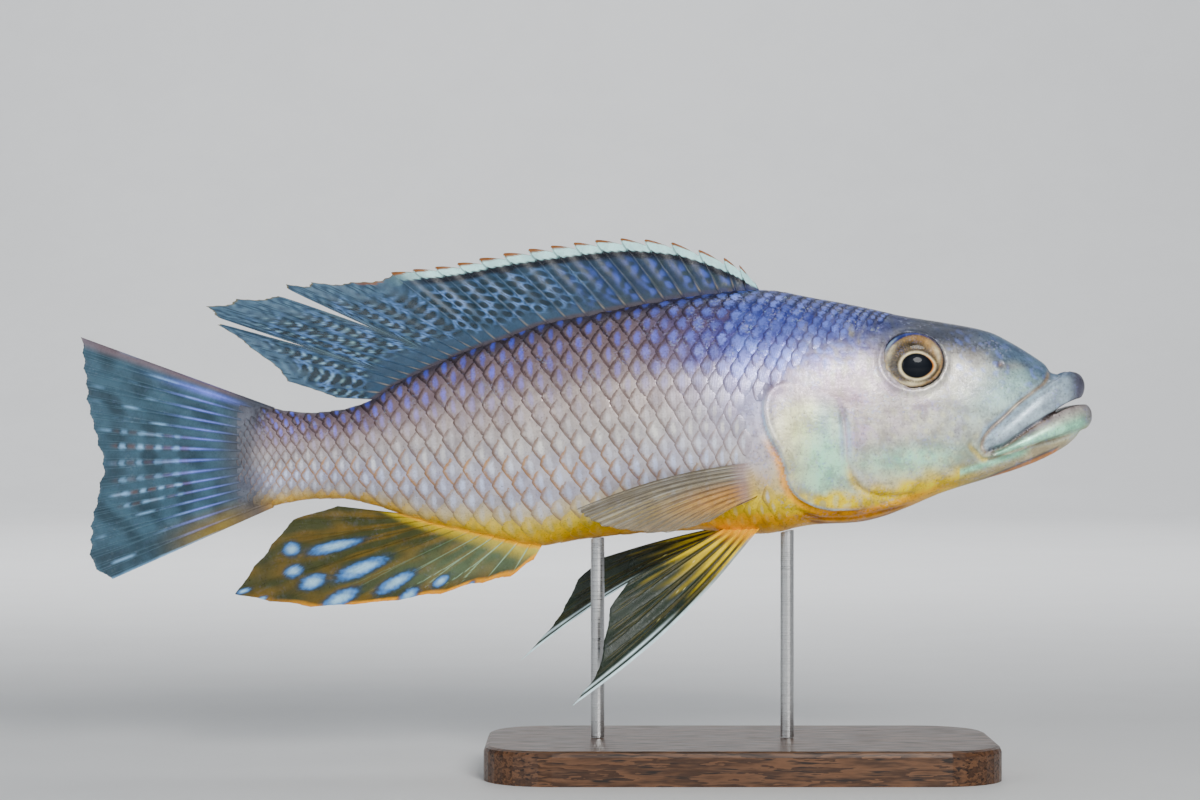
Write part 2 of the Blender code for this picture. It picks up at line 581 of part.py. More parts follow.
def finish():
    """Shades the round faces smooth, and gives each node its own material in the colour of the living fish."""
    for obj in bpy.data.objects:
        if obj.type != "MESH":
            continue
        kind = next(k for k in COLOURS if obj.name.startswith(k))
        material = bpy.data.materials.new(obj.name)
        material.use_nodes = True
        shader = material.node_tree.nodes["Principled BSDF"]
        shader.inputs["Base Color"].default_value = (*COLOURS[kind], 1)
        shader.inputs["Roughness"].default_value = ROUGHNESS
        shader.inputs["Metallic"].default_value = 1.0 if kind == "stand_rod" else 0.0
        obj.data.materials.clear()
        obj.data.materials.append(material)
        obj.data.shade_smooth()
        obj.data.set_sharp_from_angle(angle=SHARP_ANGLE)


remove(*bpy.data.objects)
make_head()
make_lower_jaw()
make_trunk()
for side_name, side in (("right", -1), ("left", 1)):
    make_gill_cover("gill_cover_" + side_name, side)
    eyeball("eye_" + side_name, side)
    make_pectoral_fin("pectoral_fin_" + side_name, side)
make_pelvic_fin("pelvic_fin_right", -1, RIGHT_PELVIC_TIPS, RIGHT_PELVIC_BOW)
make_pelvic_fin("pelvic_fin_left", 1, LEFT_PELVIC_TIPS, LEFT_PELVIC_BOW)
make_dorsal_fin()
make_anal_fin()
make_caudal_fin()
make_stand()
finish()
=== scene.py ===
# %% [markdown]
# # A museum model of a Malawi cichlid
# The fish is a predatory cichlid with a big mouth, held still over a flat base by two rods. The measured solids
# come from the frame. This notebook dresses them: one skin, a coat of real scales, fine-rayed fins, eyes and a
# stand. A sculptor would do it by hand. Here every form is a formula, so that it can be measured, changed and built
# again exactly. Lengths are in millimetres until a point is placed, because fish are measured that way.

# %% Load the frame
import json
import math

import bmesh
import bpy
import numpy as np
from mathutils import Matrix, Vector
from mathutils.bvhtree import BVHTree

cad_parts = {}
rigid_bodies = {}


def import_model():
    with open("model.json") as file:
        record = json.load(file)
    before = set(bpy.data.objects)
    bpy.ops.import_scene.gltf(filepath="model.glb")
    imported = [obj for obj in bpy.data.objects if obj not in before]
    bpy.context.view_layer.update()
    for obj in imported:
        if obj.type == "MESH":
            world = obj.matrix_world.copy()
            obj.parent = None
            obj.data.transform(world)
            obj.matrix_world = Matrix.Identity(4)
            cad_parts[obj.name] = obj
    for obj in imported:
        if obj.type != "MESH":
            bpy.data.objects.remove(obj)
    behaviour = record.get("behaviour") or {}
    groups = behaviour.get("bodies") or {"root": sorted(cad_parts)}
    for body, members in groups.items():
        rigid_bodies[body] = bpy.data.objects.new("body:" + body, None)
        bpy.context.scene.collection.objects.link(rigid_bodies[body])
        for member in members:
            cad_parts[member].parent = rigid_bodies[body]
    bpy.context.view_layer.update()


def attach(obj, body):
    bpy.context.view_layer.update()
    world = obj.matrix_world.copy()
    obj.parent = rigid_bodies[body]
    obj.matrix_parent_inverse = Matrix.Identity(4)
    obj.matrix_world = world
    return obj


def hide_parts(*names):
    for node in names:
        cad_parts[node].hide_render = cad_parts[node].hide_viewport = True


for leftover in list(bpy.data.objects):
    bpy.data.objects.remove(leftover)
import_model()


MM = 0.001
SIDES = (("right", -1), ("left", 1))

# %% [markdown]
# ## Measuring a fish
# A *station* is the distance behind the snout and a *height* is the distance above the table. Back, belly and
# width are three curves along the stations. Each is a list of a few points with a smooth curve through them that
# never swings past a point, so that a flat stretch stays flat. A body could also be pushed into shape point by
# point, but with curves any place on it can be asked for by a station and an angle, and all later steps do that.

# %% Curves of the body
SNOUT_X = 104.0
BACK = [(3, 112.4), (5, 114.3), (8, 116.2), (12.3, 119.2), (15, 121.3), (18.3, 123.5), (23.6, 126.7), (30.6, 130.1),
        (44.5, 132.9), (55.2, 134.6), (69, 137.5), (81, 139.9), (98, 142.8), (114.9, 141.2), (136, 137.7),
        (146.5, 135.6), (162.8, 132.3), (173.7, 128.2), (184.6, 124.6), (195.6, 119.8), (206.5, 114.3),
        (214.2, 109.5), (221.9, 107.3), (230.8, 106.5), (239.3, 107.3), (244.9, 108.9), (250.3, 110.6), (260, 113.6)]
BELLY = [(3, 101.5), (5, 98.6), (12.3, 93.6), (21.8, 89.6), (30.6, 86.8), (44.5, 82.4), (55.2, 77.9), (62, 75.4),
         (69.1, 73.8), (81.2, 73), (98, 70.2), (114.9, 71.3), (136, 70.1), (151, 68.6), (162.8, 66.8), (173.7, 68.7),
         (184.6, 71.1), (195.6, 73.5), (206.5, 76.9), (214.2, 79.2), (221.9, 80.5), (230.8, 80.2), (239.3, 78.8),
         (244.9, 77.4), (250.3, 75.8), (260, 72)]
HALF_WIDTH = [(3, 3.4), (6, 6.2), (10, 8.8), (20, 12.2), (31, 14.2), (50, 16.6), (70, 19.2),
              (90, 20.6), (110, 20.2), (135, 18.4), (162, 14.8), (190, 10.6), (213, 7.4), (234, 5),
              (247, 3.1), (250, 1.9), (253, 0.8), (255, 0.3), (260, 0.1)]
# the share of the height, from the belly up, at which a section is widest
WIDEST = [(1, 0.5), (20, 0.4), (50, 0.43), (80, 0.46), (110, 0.5), (160, 0.52), (247, 0.5)]
# powers of a section's curve: 2 is an ellipse, more is fuller and less is leaner
UPPER_FULLNESS = [(1, 2.2), (25, 2.3), (50, 2.6), (80, 2.2), (100, 1.9), (150, 1.8), (213, 1.9), (247, 2.2)]
LOWER_FULLNESS = [(1, 2.2), (25, 2), (50, 2.1), (80, 2.3), (110, 2.3), (150, 2), (200, 1.9), (247, 2.2)]
COAT_DEPTH = 0.3  # how far the skin lies inside the solids, to leave room for the scales

# %% A smooth curve through points


def curve_through(points):
    """Gives a smooth curve through points, which stays between its neighbours' heights."""
    x, y = (np.array(v, float) for v in zip(*points))
    step = np.diff(x)
    slope = np.diff(y) / step
    tangent = np.zeros(len(x))
    weight_a, weight_b = 2 * step[1:] + step[:-1], step[1:] + 2 * step[:-1]
    with np.errstate(divide="ignore", invalid="ignore"):
        inner = (weight_a + weight_b) / (weight_a / slope[:-1] + weight_b / slope[1:])
    tangent[1:-1] = np.where(slope[:-1] * slope[1:] > 0, inner, 0)
    tangent[0], tangent[-1] = slope[0], slope[-1]

    def value(at):
        at = np.clip(at, x[0], x[-1])
        i = np.clip(np.searchsorted(x, at, side="right") - 1, 0, len(step) - 1)
        t = (at - x[i]) / step[i]
        rise = y[i] * (2 * t**3 - 3 * t**2 + 1) + y[i + 1] * (3 * t**2 - 2 * t**3)
        return rise + step[i] * (tangent[i] * (t**3 - 2 * t**2 + t) + tangent[i + 1] * (t**3 - t**2))

    return value


back, belly, half_width, widest, upper_fullness, lower_fullness = (
    curve_through(t) for t in (BACK, BELLY, HALF_WIDTH, WIDEST, UPPER_FULLNESS, LOWER_FULLNESS))

# %% Soft steps and places on the body


def smooth(x, low=0.0, high=1.0):
    t = np.clip((np.asarray(x, float) - low) / (high - low), 0, 1)
    return t * t * (3 - 2 * t)


def bump(x, width):
    return np.exp(-((np.asarray(x, float) / width) ** 2))


def place(points):
    """Stations, distances to the left and heights in millimetres, as points in metres."""
    p = np.asarray(points, float)
    return np.stack([SNOUT_X - p[..., 0], p[..., 1], p[..., 2]], -1) * MM


def measure(points):
    """The reverse of place."""
    p = np.asarray(points, float) / MM
    return SNOUT_X - p[..., 0], p[..., 1], p[..., 2]


def section(station, angle, swell=0.0):
    """Across and height on the flank: angle 0 is the back, half a turn is the belly, positive is the left."""
    station = np.asarray(station, float)
    low, high = belly(station) - swell, back(station) + swell
    middle = low + widest(station) * (high - low)
    side, lift = np.sin(angle), np.cos(angle)
    up = lift > 0
    power = np.where(up, upper_fullness(station), lower_fullness(station))
    reach = np.where(up, high - middle, middle - low)
    size = (np.abs(side) ** power + np.abs(lift) ** power) ** (-1 / power)
    return (half_width(station) + swell) * side * size, middle + reach * lift * size


print("deepest", round(float(max(back(s) - belly(s) for s in range(90, 170))), 1), "mm")

# %% [markdown]
# ## Small tools for meshes
# Every piece is made from arrays of points and faces. These helpers turn arrays into an object, ride it on the
# frame's single body, and store values on its points, such as a colour, which a shader can read by name. Blender's
# own shapes could be edited instead, but arrays let one formula set all points at once.

# %% Objects and arrays


def add_object(name, data):
    obj = bpy.data.objects.new(name, data)
    bpy.context.scene.collection.objects.link(obj)
    return obj


def make_object(name, points, faces):
    mesh = bpy.data.meshes.new(name)
    mesh.from_pydata([tuple(p) for p in points], [], [tuple(f) for f in faces])
    mesh.shade_smooth()
    return add_object(name, mesh)


def vectors(rows, field):
    values = np.empty(len(rows) * 3, np.float32)
    rows.foreach_get(field, values)
    return values.reshape(-1, 3).astype(float)


def coordinates(mesh):
    return vectors(mesh.vertices, "co")


def set_coordinates(mesh, values):
    mesh.vertices.foreach_set("co", np.asarray(values, np.float32).ravel())
    mesh.update()


def store(mesh, name, values):
    """Stores one number, or one colour, on each point of a mesh."""
    values = np.asarray(values, np.float32)
    if values.ndim == 1:
        layer = mesh.attributes.new(name, "FLOAT", "POINT")
        layer.data.foreach_set("value", values)
    else:
        layer = mesh.attributes.new(name, "FLOAT_COLOR", "POINT")
        rgba = np.ones((len(values), 4), np.float32)
        rgba[:, :3] = values
        layer.data.foreach_set("color", rgba.ravel())


def dress(obj, slot_name, *replaced):
    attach(obj, "root")
    if replaced:
        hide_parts(*replaced)
    return obj

# %% Faces and solids


def grid_faces(grid):
    """The faces between the rows and columns of a grid of point numbers."""
    return np.stack([grid[:-1, :-1], grid[1:, :-1], grid[1:, 1:], grid[:-1, 1:]], -1).reshape(-1, 4)


def outline(grid):
    """The outer points of a grid of point numbers, in order."""
    return [*grid[0], *grid[1:, -1], *grid[-1, -2::-1], *grid[-2:0:-1, 0]]


def tube(name, rings):
    """A closed solid through rings of points."""
    rings = np.asarray(rings, float)
    count, total = rings.shape[1], rings.shape[0] * rings.shape[1]
    faces = []
    for r in range(rings.shape[0] - 1):
        for k in range(count):
            a, b = r * count + k, r * count + (k + 1) % count
            faces.append((a, b, b + count, a + count))
    faces += [tuple(range(count))[::-1], tuple(range(total - count, total))]
    obj = make_object(name, rings.reshape(-1, 3), faces)
    work = bmesh.new()
    work.from_mesh(obj.data)
    bmesh.ops.recalc_face_normals(work, faces=work.faces)
    work.to_mesh(obj.data)
    work.free()
    return obj


def work_out(obj):
    """Keeps the result of an object's modifiers as its mesh."""
    graph = bpy.context.evaluated_depsgraph_get()
    mesh = bpy.data.meshes.new_from_object(obj.evaluated_get(graph))
    obj.modifiers.clear()
    obj.data = mesh


def boolean(obj, operation, tool):
    step = obj.modifiers.new(operation.title(), "BOOLEAN")
    step.operation = operation
    step.object = tool
    work_out(obj)
    bpy.data.objects.remove(tool)


# %% [markdown]
# ## The skin as one piece
# A fish's head and body share one skin. It could be made of patches sewn edge to edge, but seams show, and lips are
# hard to sew on. So the forms are joined as solids. The body is a stack of sections. Each lip is a rounded bolster
# that runs from one corner of the mouth round to the other. The mouth is then cut as a wedge that narrows towards
# the corner, and the eye sockets are cut with balls. A voxel remesh turns the result into one even surface.

# %% Measures of the mouth, the lips and the eyes
SKIN_VOXEL = 0.47
MOUTH_LINE = [(-8, 109.8), (0.8, 109.7), (4.6, 109.4), (8.1, 108.4), (13.6, 105.4), (16.1, 103.9), (19.7, 101.7),
              (23.1, 99.3), (26.4, 97.1), (29.2, 95.7), (31.5, 95)]
GAPE = [(-8, 2.4), (1, 2.1), (9, 1.4), (14, 0.9), (18.5, 0.3), (31.5, 0.2)]  # how far the mouth is open
GAPE_END = 18.5  # farther back the lips touch, and the mouth is a sculpted seam
# Each lip: the station of its front, its height by station, and half its own height and half its thickness, both
# from the lip's middle (0) to the mouth's corner (1).
LIPS = {"upper_lip_form": (4.9, [(4.9, 113.9), (7, 113.4), (12, 110.8), (18.4, 107), (27.6, 100.4), (33, 97.2)],
                           [(0, 3.9), (0.15, 4.4), (0.3, 5.2), (0.42, 5.3), (0.6, 4.8), (0.9, 3.6), (1, 2)],
                           [(0, 2.9), (0.5, 2.5), (0.9, 1.6), (1, 0.8)]),
        "lower_lip_form": (3.1, [(2.9, 105.2), (5, 104.8), (14.6, 100.8), (21.7, 97.4), (28.4, 94.6), (33, 93.2)],
                           [(0, 4.1), (0.5, 3.3), (0.9, 1.9), (1, 1)], [(0, 3.3), (0.5, 2.5), (0.9, 1.3), (1, 0.6)])}
LIP_CORNER, LIP_SPREAD, LIP_SWING = 33.0, 13.1, 86  # station, millimetres to the side, degrees to each side
SKIN_START, FINE_END, SKIN_END = 3, 61, 260  # the sections lie closer together as far as the middle station
# the eyeball's middle, half its length, height and depth, and how far it is turned upwards
EYE_STATION, EYE_OUT, EYE_HEIGHT = 54.2, 13.9, 121.4
EYE_LONG, EYE_TALL, EYE_DEPTH, EYE_UPTURN = 9.3, 8.4, 4.2, math.radians(9)

# %% Solids of the body, the lips, an eye's socket and the mouth


def body_solid(name, swell):
    fine_part = SKIN_START + (FINE_END - SKIN_START) * np.linspace(0, 1, 50, endpoint=False) ** 1.3
    stations = np.concatenate([fine_part, np.linspace(FINE_END, SKIN_END, 96)])
    angles = np.linspace(0, 2 * math.pi, 96, endpoint=False)
    rings = []
    for s in stations:
        across, height = section(s, angles, swell(s))
        rings.append(place(np.stack([np.full(len(angles), s), across, height], -1)))
    return tube(name, rings)


def lip_solid(name, front, heights, tall, thick):
    height, tall, thick = curve_through(heights), curve_through(tall), curve_through(thick)
    rings = []
    turn = np.linspace(0, 2 * math.pi, 28, endpoint=False)
    for bend in np.radians(np.linspace(-LIP_SWING, LIP_SWING, 70)):
        share = abs(bend) / math.radians(LIP_SWING)
        station = LIP_CORNER - (LIP_CORNER - front) * math.cos(bend)
        push = thick(share) * np.cos(turn)
        ring = np.stack([station - math.cos(bend) * push, LIP_SPREAD * math.sin(bend) + math.sin(bend) * push,
                         height(station) + tall(share) * np.sin(turn)], -1)
        rings.append(place(ring))
    return tube(name, rings)


def ball(name, side, extra):
    work = bmesh.new()
    bmesh.ops.create_uvsphere(work, u_segments=64, v_segments=32, radius=1)
    scale = Matrix.Diagonal([(half + extra) * MM for half in (EYE_LONG, EYE_TALL, EYE_DEPTH)] + [1])
    turn = Matrix.Rotation(math.pi / 2 + side * EYE_UPTURN, 4, "X")
    spot = Matrix.Translation(place((EYE_STATION, side * EYE_OUT, EYE_HEIGHT)))
    bmesh.ops.transform(work, matrix=spot @ turn @ scale, verts=work.verts)
    mesh = bpy.data.meshes.new(name)
    work.to_mesh(mesh)
    work.free()
    return add_object(name, mesh)


def mouth_wedge():
    gape = curve_through(GAPE)
    line_height = curve_through(MOUTH_LINE)
    stations = np.linspace(MOUTH_LINE[0][0], GAPE_END, 30)
    top = [(s, line_height(s) + gape(s) / 2) for s in stations]
    low = [(s, line_height(s) - gape(s) / 2) for s in stations[::-1]]
    rings = [place([(s, y, z) for s, z in top + low]) for y in (-40, 40)]
    return tube("mouth_wedge", rings)


# %% Joining and cutting them
skin = body_solid("skin", lambda s: -COAT_DEPTH * float(smooth(s, 70, 90)))
for name, values in LIPS.items():
    boolean(skin, "UNION", lip_solid(name, *values))
boolean(skin, "DIFFERENCE", mouth_wedge())
for side in (-1, 1):
    boolean(skin, "DIFFERENCE", ball("socket", side, 0.12))
remesh = skin.modifiers.new("Even surface", "REMESH")
remesh.mode = "VOXEL"
remesh.voxel_size = SKIN_VOXEL * MM
work_out(skin)
skin_mesh = skin.data
print("skin points", len(skin_mesh.vertices))

# %% [markdown]
# ## Sculpting by formula
# The fine forms of a head are lines and edges in the side view: the gill cover's free edge, the groove in front
# of it, the folds under the throat, the fold at the mouth's corner, a nostril and the rim about the eye. A sculptor
# draws them with a brush. A formula lands on the measured line instead, and on both sides alike: for each point of
# the skin its distance to such a line is found, and the point is pushed in or out along its normal.

# %% Forms of the head, as lines in the side view
GILL_EDGE = [(76.5, 110.2), (81.5, 112.5), (87.3, 114.2), (92.2, 115.4), (95.4, 114.5), (97.7, 111.6),
             (98.6, 107.5), (98, 103.5), (96, 98.2), (93.4, 93.9), (91.9, 90.1), (91, 86.1), (89, 82.6), (86.4, 80.5),
             (82, 78.5), (76.8, 77.6), (71, 77.6), (65.2, 78.5)]
PREOPERCLE = [(76.2, 109.6), (74.7, 104), (74.1, 98.2), (73.8, 92.4), (72.7, 88.4), (70.4, 84.6), (66.3, 82.3),
              (61.6, 81.4), (55.8, 82), (49.7, 83.4)]
THROAT_FOLDS = [[(89.8, 79.2), (85.2, 76.6), (79.3, 75.1), (72.9, 75.1), (65.9, 76.3), (58.9, 78), (51.9, 80.1)],
                [(87.6, 76.8), (82, 74.1), (75, 73.5), (67.4, 74.4), (60.4, 76.2), (53.9, 78.2)]]
LIP_GROOVE = [(13.5, 117.5), (14.9, 115.1), (18.4, 112.5), (23.1, 109), (27.5, 104.9), (31.3, 101.4), (33.4, 98.5),
              (33.9, 96.1), (32.8, 94.6)]
CORNER_FOLD = [(29.1, 92.3), (32.9, 92.3), (35.5, 94.4), (37.4, 96.7), (36.9, 98.6)]
JAW_GROOVE = [(5.2, 100.2), (9.7, 98.9), (12.5, 98.2), (16.7, 97.2), (20.8, 96.1), (26.4, 94.4), (31.2, 92.6),
              (34.8, 92.2)]
JAW_RIDGE = [(4.3, 99.5), (10.7, 96.4), (19.5, 92.6), (28.3, 90), (37, 88.2), (45.8, 87)]
JAW_EDGE = [(8, 97.8), (12, 95.4), (15.3, 94), (20.9, 91.6), (25, 89.8), (29.5, 87.9), (34, 85.8), (40, 82)]
MOUTH_SEAM = [(12.5, 106), (14, 105.1), (16.1, 103.9), (19.7, 101.7), (23.1, 99.3), (26.4, 97.1), (29.2, 95.7),
              (32.4, 94.7)]
LOWER_LIP_BAND = [(3.8, 103), (8.3, 101.8), (12.5, 100.5), (16.7, 99.1), (20.8, 97.7), (25, 96), (29, 94.5)]
JAW_BAND = [(19.7, 95), (23.6, 93.9), (27.8, 92.6), (32, 91.2), (36.2, 89.9), (41, 88.4)]
LIP_BAND = [(4, 113.4), (12, 110.8), (20, 105.5), (31, 98)]
NOSTRIL_STATION, NOSTRIL_HEIGHT = 28.3, 120.3
ARM = (98.2, 86.8)  # middle of the fleshy root of the pectoral fin

# %% Distances to lines


def distance_to(line, s, z):
    """Distance from side-view points to a line, and how far along the line the nearest place is."""
    line = np.asarray(line, float)
    nearest, along = np.full(s.shape, 1e9), np.zeros(s.shape)
    for i, (a, b) in enumerate(zip(line[:-1], line[1:])):
        d = b - a
        t = np.clip(((s - a[0]) * d[0] + (z - a[1]) * d[1]) / (d @ d), 0, 1)
        gap = np.hypot(s - a[0] - t * d[0], z - a[1] - t * d[1])
        along = np.where(gap < nearest, (i + t) / (len(line) - 1), along)
        nearest = np.minimum(nearest, gap)
    return nearest, along


def rounded(line, per_span=6):
    """The same line with smooth corners."""
    line = np.asarray(line, float)
    run = np.concatenate([[0], np.cumsum(np.hypot(*np.diff(line, axis=0).T))])
    fine = np.linspace(0, run[-1], per_span * len(line))
    return np.stack([curve_through(list(zip(run, line[:, k])))(fine) for k in (0, 1)], -1)


def inside(line, s, z):
    """Whether side-view points lie inside a closed line."""
    line = np.asarray(line, float)
    result = np.zeros(s.shape, bool)
    for (sa, za), (sb, zb) in zip(line, np.roll(line, -1, 0)):
        crosses = (za > z) != (zb > z)
        with np.errstate(divide="ignore", invalid="ignore"):
            result ^= crosses & (s < (sb - sa) * (z - za) / (zb - za) + sa)
    return result


def taper(along, ends=0.12):
    return smooth(along, 0, ends) * smooth(1 - along, 0, ends)


GILL_LINE, PREOPERCLE_LINE = rounded(GILL_EDGE), rounded(PREOPERCLE)
COVER = np.concatenate([GILL_LINE, PREOPERCLE_LINE[::-1]])
print("outline of the gill cover", len(COVER), "points")

# %% The relief


def relief(s, y, z):
    """How far each point of the skin is pushed outwards, in millimetres."""
    push = np.zeros(s.shape)
    near = s < 110
    a, y_near, b = s[near], y[near], z[near]
    part = np.zeros(a.shape)
    side_facing = smooth(np.abs(y_near), 3, 8)
    edge, along = distance_to(GILL_LINE, a, b)
    within = inside(COVER, a, b)
    fade = smooth(along, 0.14, 0.42) * smooth(1 - along, 0, 0.15)
    part += fade * np.where(within, 1.15 * smooth(edge, -0.1, 0.8) * bump(edge, 4.2), -0.5 * bump(edge - 0.4, 1.1))
    part += 0.3 * fade * within * bump(edge - 1.6, 1.1)
    part += 0.7 * bump(np.hypot((a - 86) / 8.5, (b - 97) / 13), 1)  # the cover's own swelling
    front, along = distance_to(PREOPERCLE_LINE, a, b)
    part -= 0.55 * taper(along, 0.15) * bump(front, 0.85)
    part += 0.3 * taper(along, 0.15) * bump(front - 2, 1.4) * ~within
    for fold in THROAT_FOLDS:
        gap, along = distance_to(rounded(fold), a, b)
        part -= 0.6 * taper(along, 0.2) * bump(gap, 0.55)
        part += 0.16 * taper(along, 0.2) * bump(gap - 1.3, 0.7)
    for line, depth, width in ((LIP_GROOVE, 1.0, 0.7), (CORNER_FOLD, 0.35, 0.6), (JAW_GROOVE, 0.7, 0.65),
                               (MOUTH_SEAM, 1.1, 0.55)):
        gap, along = distance_to(rounded(line), a, b)
        part -= depth * taper(along, 0.08) * bump(gap, width)
    gap, along = distance_to(rounded(CORNER_FOLD), a, b)
    part += 0.35 * taper(along, 0.2) * bump(gap - 1.3, 0.8)
    gap, along = distance_to(rounded(JAW_RIDGE), a, b)
    part += 0.3 * taper(along, 0.2) * bump(gap, 1.3) - 0.25 * taper(along, 0.2) * bump(gap - 2.1, 0.8)
    from_eye = EYE_TALL * (np.hypot((a - EYE_STATION) / EYE_LONG, (b - EYE_HEIGHT) / EYE_TALL) - 1)
    part += 0.28 * bump(from_eye - 0.5, 0.7) - 0.08 * bump(from_eye - 2.4, 1.2)
    part -= 0.25 * bump(np.hypot(a - 41, b - 115), 4.5)  # the hollow before the eye
    nostril = np.hypot(a - NOSTRIL_STATION, b - NOSTRIL_HEIGHT)
    part += 0.14 * bump(nostril - 1.2, 0.5) - 0.8 * bump(nostril, 0.7)
    push[near] = part * side_facing
    push -= 1.1 * bump(np.hypot(s - 12.2, (z - 117.9) * 0.8), 1.5)  # the nick where the lip meets the snout
    push += 0.75 * bump(s - ARM[0] - 0.5, 3.6) * bump(z - ARM[1], 5.6) * (s < 115)
    # a shallow furrow where the head meets the shoulder, and the soft swellings of the muscle blocks
    push += -0.18 * bump(s - 99, 5) * smooth(z, 95, 120)
    push += 0.05 * np.sin(s * 0.7 + np.abs(z - 108) * 0.5) * smooth(s, 105, 120) * (1 - smooth(s, 225, 240))
    return push


# %% Pushing the skin into shape


def relax(mesh, rounds, strength=0.5):
    """Evens out the surface by moving every point towards the mean of its neighbours."""
    pairs = np.empty(len(mesh.edges) * 2, np.int32)
    mesh.edges.foreach_get("vertices", pairs)
    a, b = pairs.reshape(-1, 2).T
    count = np.bincount(a, minlength=len(mesh.vertices)) + np.bincount(b, minlength=len(mesh.vertices))
    points = coordinates(mesh)
    for _ in range(rounds):
        total = np.stack([np.bincount(a, points[b, k], len(points)) + np.bincount(b, points[a, k], len(points))
                          for k in range(3)], -1)
        points += strength * (total / count[:, None] - points)
    set_coordinates(mesh, points)


relax(skin_mesh, 4)
points, outwards = coordinates(skin_mesh), vectors(skin_mesh.vertex_normals, "vector")
set_coordinates(skin_mesh, points + outwards * relief(*measure(points))[:, None] * MM)
relax(skin_mesh, 1, 0.4)
skin_mesh.shade_smooth()
print("sculpted", len(skin_mesh.polygons), "faces")

# %% [markdown]
# ## Markings
# A fish's colours come from pigment and from crystals in its skin. They could be painted on a picture that is
# wrapped round the mesh, but a formula needs no picture and has no seams. One function gives the colour anywhere on
# the fish from its station and height, so the skin and the scales that lie on it always agree. It mixes named
# colours by soft masks: violet-blue on the back, pearly beige on the flank, lavender below the middle, orange-yellow
# on the belly and throat, mint and gold on the cheek.

# %% The palette
INK, BACK_BROWN, NAPE_BLUE = (0.02, 0.025, 0.04), (0.21, 0.14, 0.16), (0.045, 0.065, 0.36)
PEARL, ROSE, LAVENDER = (0.62, 0.58, 0.51), (0.4, 0.28, 0.27), (0.43, 0.44, 0.68)
REAR_GREY, SKY, PURPLE = (0.37, 0.36, 0.37), (0.22, 0.33, 0.95), (0.1, 0.055, 0.13)
ORANGE, YELLOW, PALE_YELLOW = (1.0, 0.4, 0.0), (1.0, 0.72, 0.0), (0.95, 0.9, 0.4)
MINT, FACE, SNOUT_SIDE = (0.42, 1.0, 0.64), (0.57, 0.54, 0.45), (0.27, 0.5, 0.46)
SNOUT_TOP, CROWN, CHEEK_LILAC = (0.12, 0.2, 0.3), (0.055, 0.07, 0.1), (0.5, 0.37, 0.5)
FOLD_BROWN, EDGE_BLUE, GROOVE_BEIGE = (0.36, 0.1, 0.0), (0.55, 0.82, 1.0), (0.36, 0.25, 0.14)
JAW_BEIGE, MEMBRANE, SEAM_BROWN = (0.55, 0.45, 0.22), (0.75, 0.25, 0.0), (0.3, 0.15, 0.06)
TAIL_BASE, AMBER = (0.06, 0.072, 0.092), (0.6, 0.32, 0.06)
# colours of the lips and the mouth; the second and the last are painted shade, under the lips and inside the mouth
LIP, LIP_SHADE, LIP_TIP, MOUTH_SHADE = (0.4, 0.53, 0.6), (0.07, 0.07, 0.1), (0.07, 0.055, 0.09), (0.03, 0.02, 0.02)
LIP_EDGE, LOWER_TIP = (0.4, 0.33, 0.32), (0.2, 0.19, 0.21)

# %% Mixing colours


def blend(under, over, mask):
    return under + (np.asarray(over) - under) * np.clip(mask, 0, 1)[:, None]


def layered(base, *coats):
    """Colours one over the other: each coat is a colour and the mask that says where and how strongly it lies."""
    colour = np.asarray(base)
    for over, mask in coats:
        colour = blend(colour, over, mask)
    return colour


def ripple(s, z, size, seed):
    """Soft patches between -1 and 1, the same each time."""
    rng = np.random.default_rng(seed)
    total = np.zeros(np.shape(s))
    for _ in range(7):
        turn, phase = rng.uniform(0, math.pi), rng.uniform(0, 2 * math.pi)
        wave = 2 * math.pi / (size * rng.uniform(0.7, 1.5))
        total += np.sin((s * math.cos(turn) + z * math.sin(turn)) * wave + phase)
    return total / 4


# %% Back, flank and belly


def body_markings(s, z, up, patch):
    """Brown and blue back, pearly flank and yellow belly with a soft upper edge."""
    front, rear, fine = 1 - smooth(s, 100, 140), smooth(s, 195, 232), ripple(s, z * 0.7, 3.0, 5)
    yellow_top = np.interp(s, [85, 105, 160, 200, 247], [0.33, 0.23, 0.15, 0.09, 0.12])
    low_edge = smooth(yellow_top + 0.05 - up + 0.03 * patch, 0, 0.14)
    return layered(PEARL,
        (REAR_GREY, 0.85 * smooth(s + 20 * patch, 150, 225)),
        (ROSE, 0.5 * bump(up - 0.62, 0.14) * smooth(s, 90, 120)),
        (LAVENDER, 0.6 * bump(up - 0.28, 0.15) * smooth(s, 95, 125) * (0.75 + 0.25 * patch)),
        (LAVENDER, 0.95 * bump(np.hypot((s - 102) / 16, (z - 116) / 18), 1)),
        (CHEEK_LILAC, 0.5 * bump(np.hypot((s - 100) / 14, (z - 110) / 20), 1) * smooth(patch, -0.4, 0.8)),
        (BACK_BROWN, 0.92 * smooth(up + 0.04 * patch, 0.55, 0.84)),
        (PURPLE, 0.8 * smooth(up + 0.05 * patch, 0.6, 0.76) * front),
        (NAPE_BLUE, 0.9 * smooth(up + 0.05 * patch, 0.58, 0.74) * front * smooth(fine, -0.9, 0.3)),
        # darker along the top edge: partly the back's own dark colour, partly painted shade where the back turns away
        # from the light
        (INK, 0.8 * smooth(up + 0.03 * front, 0.9, 1.0)),
        (YELLOW, low_edge * (1 - 0.2 * rear)),
        (AMBER, 0.75 * low_edge * smooth(s, 170, 215)),
        (ORANGE, 0.8 * smooth(yellow_top * 0.55 - up, 0, 0.1) * (1 - 0.5 * rear)))


# %% Head


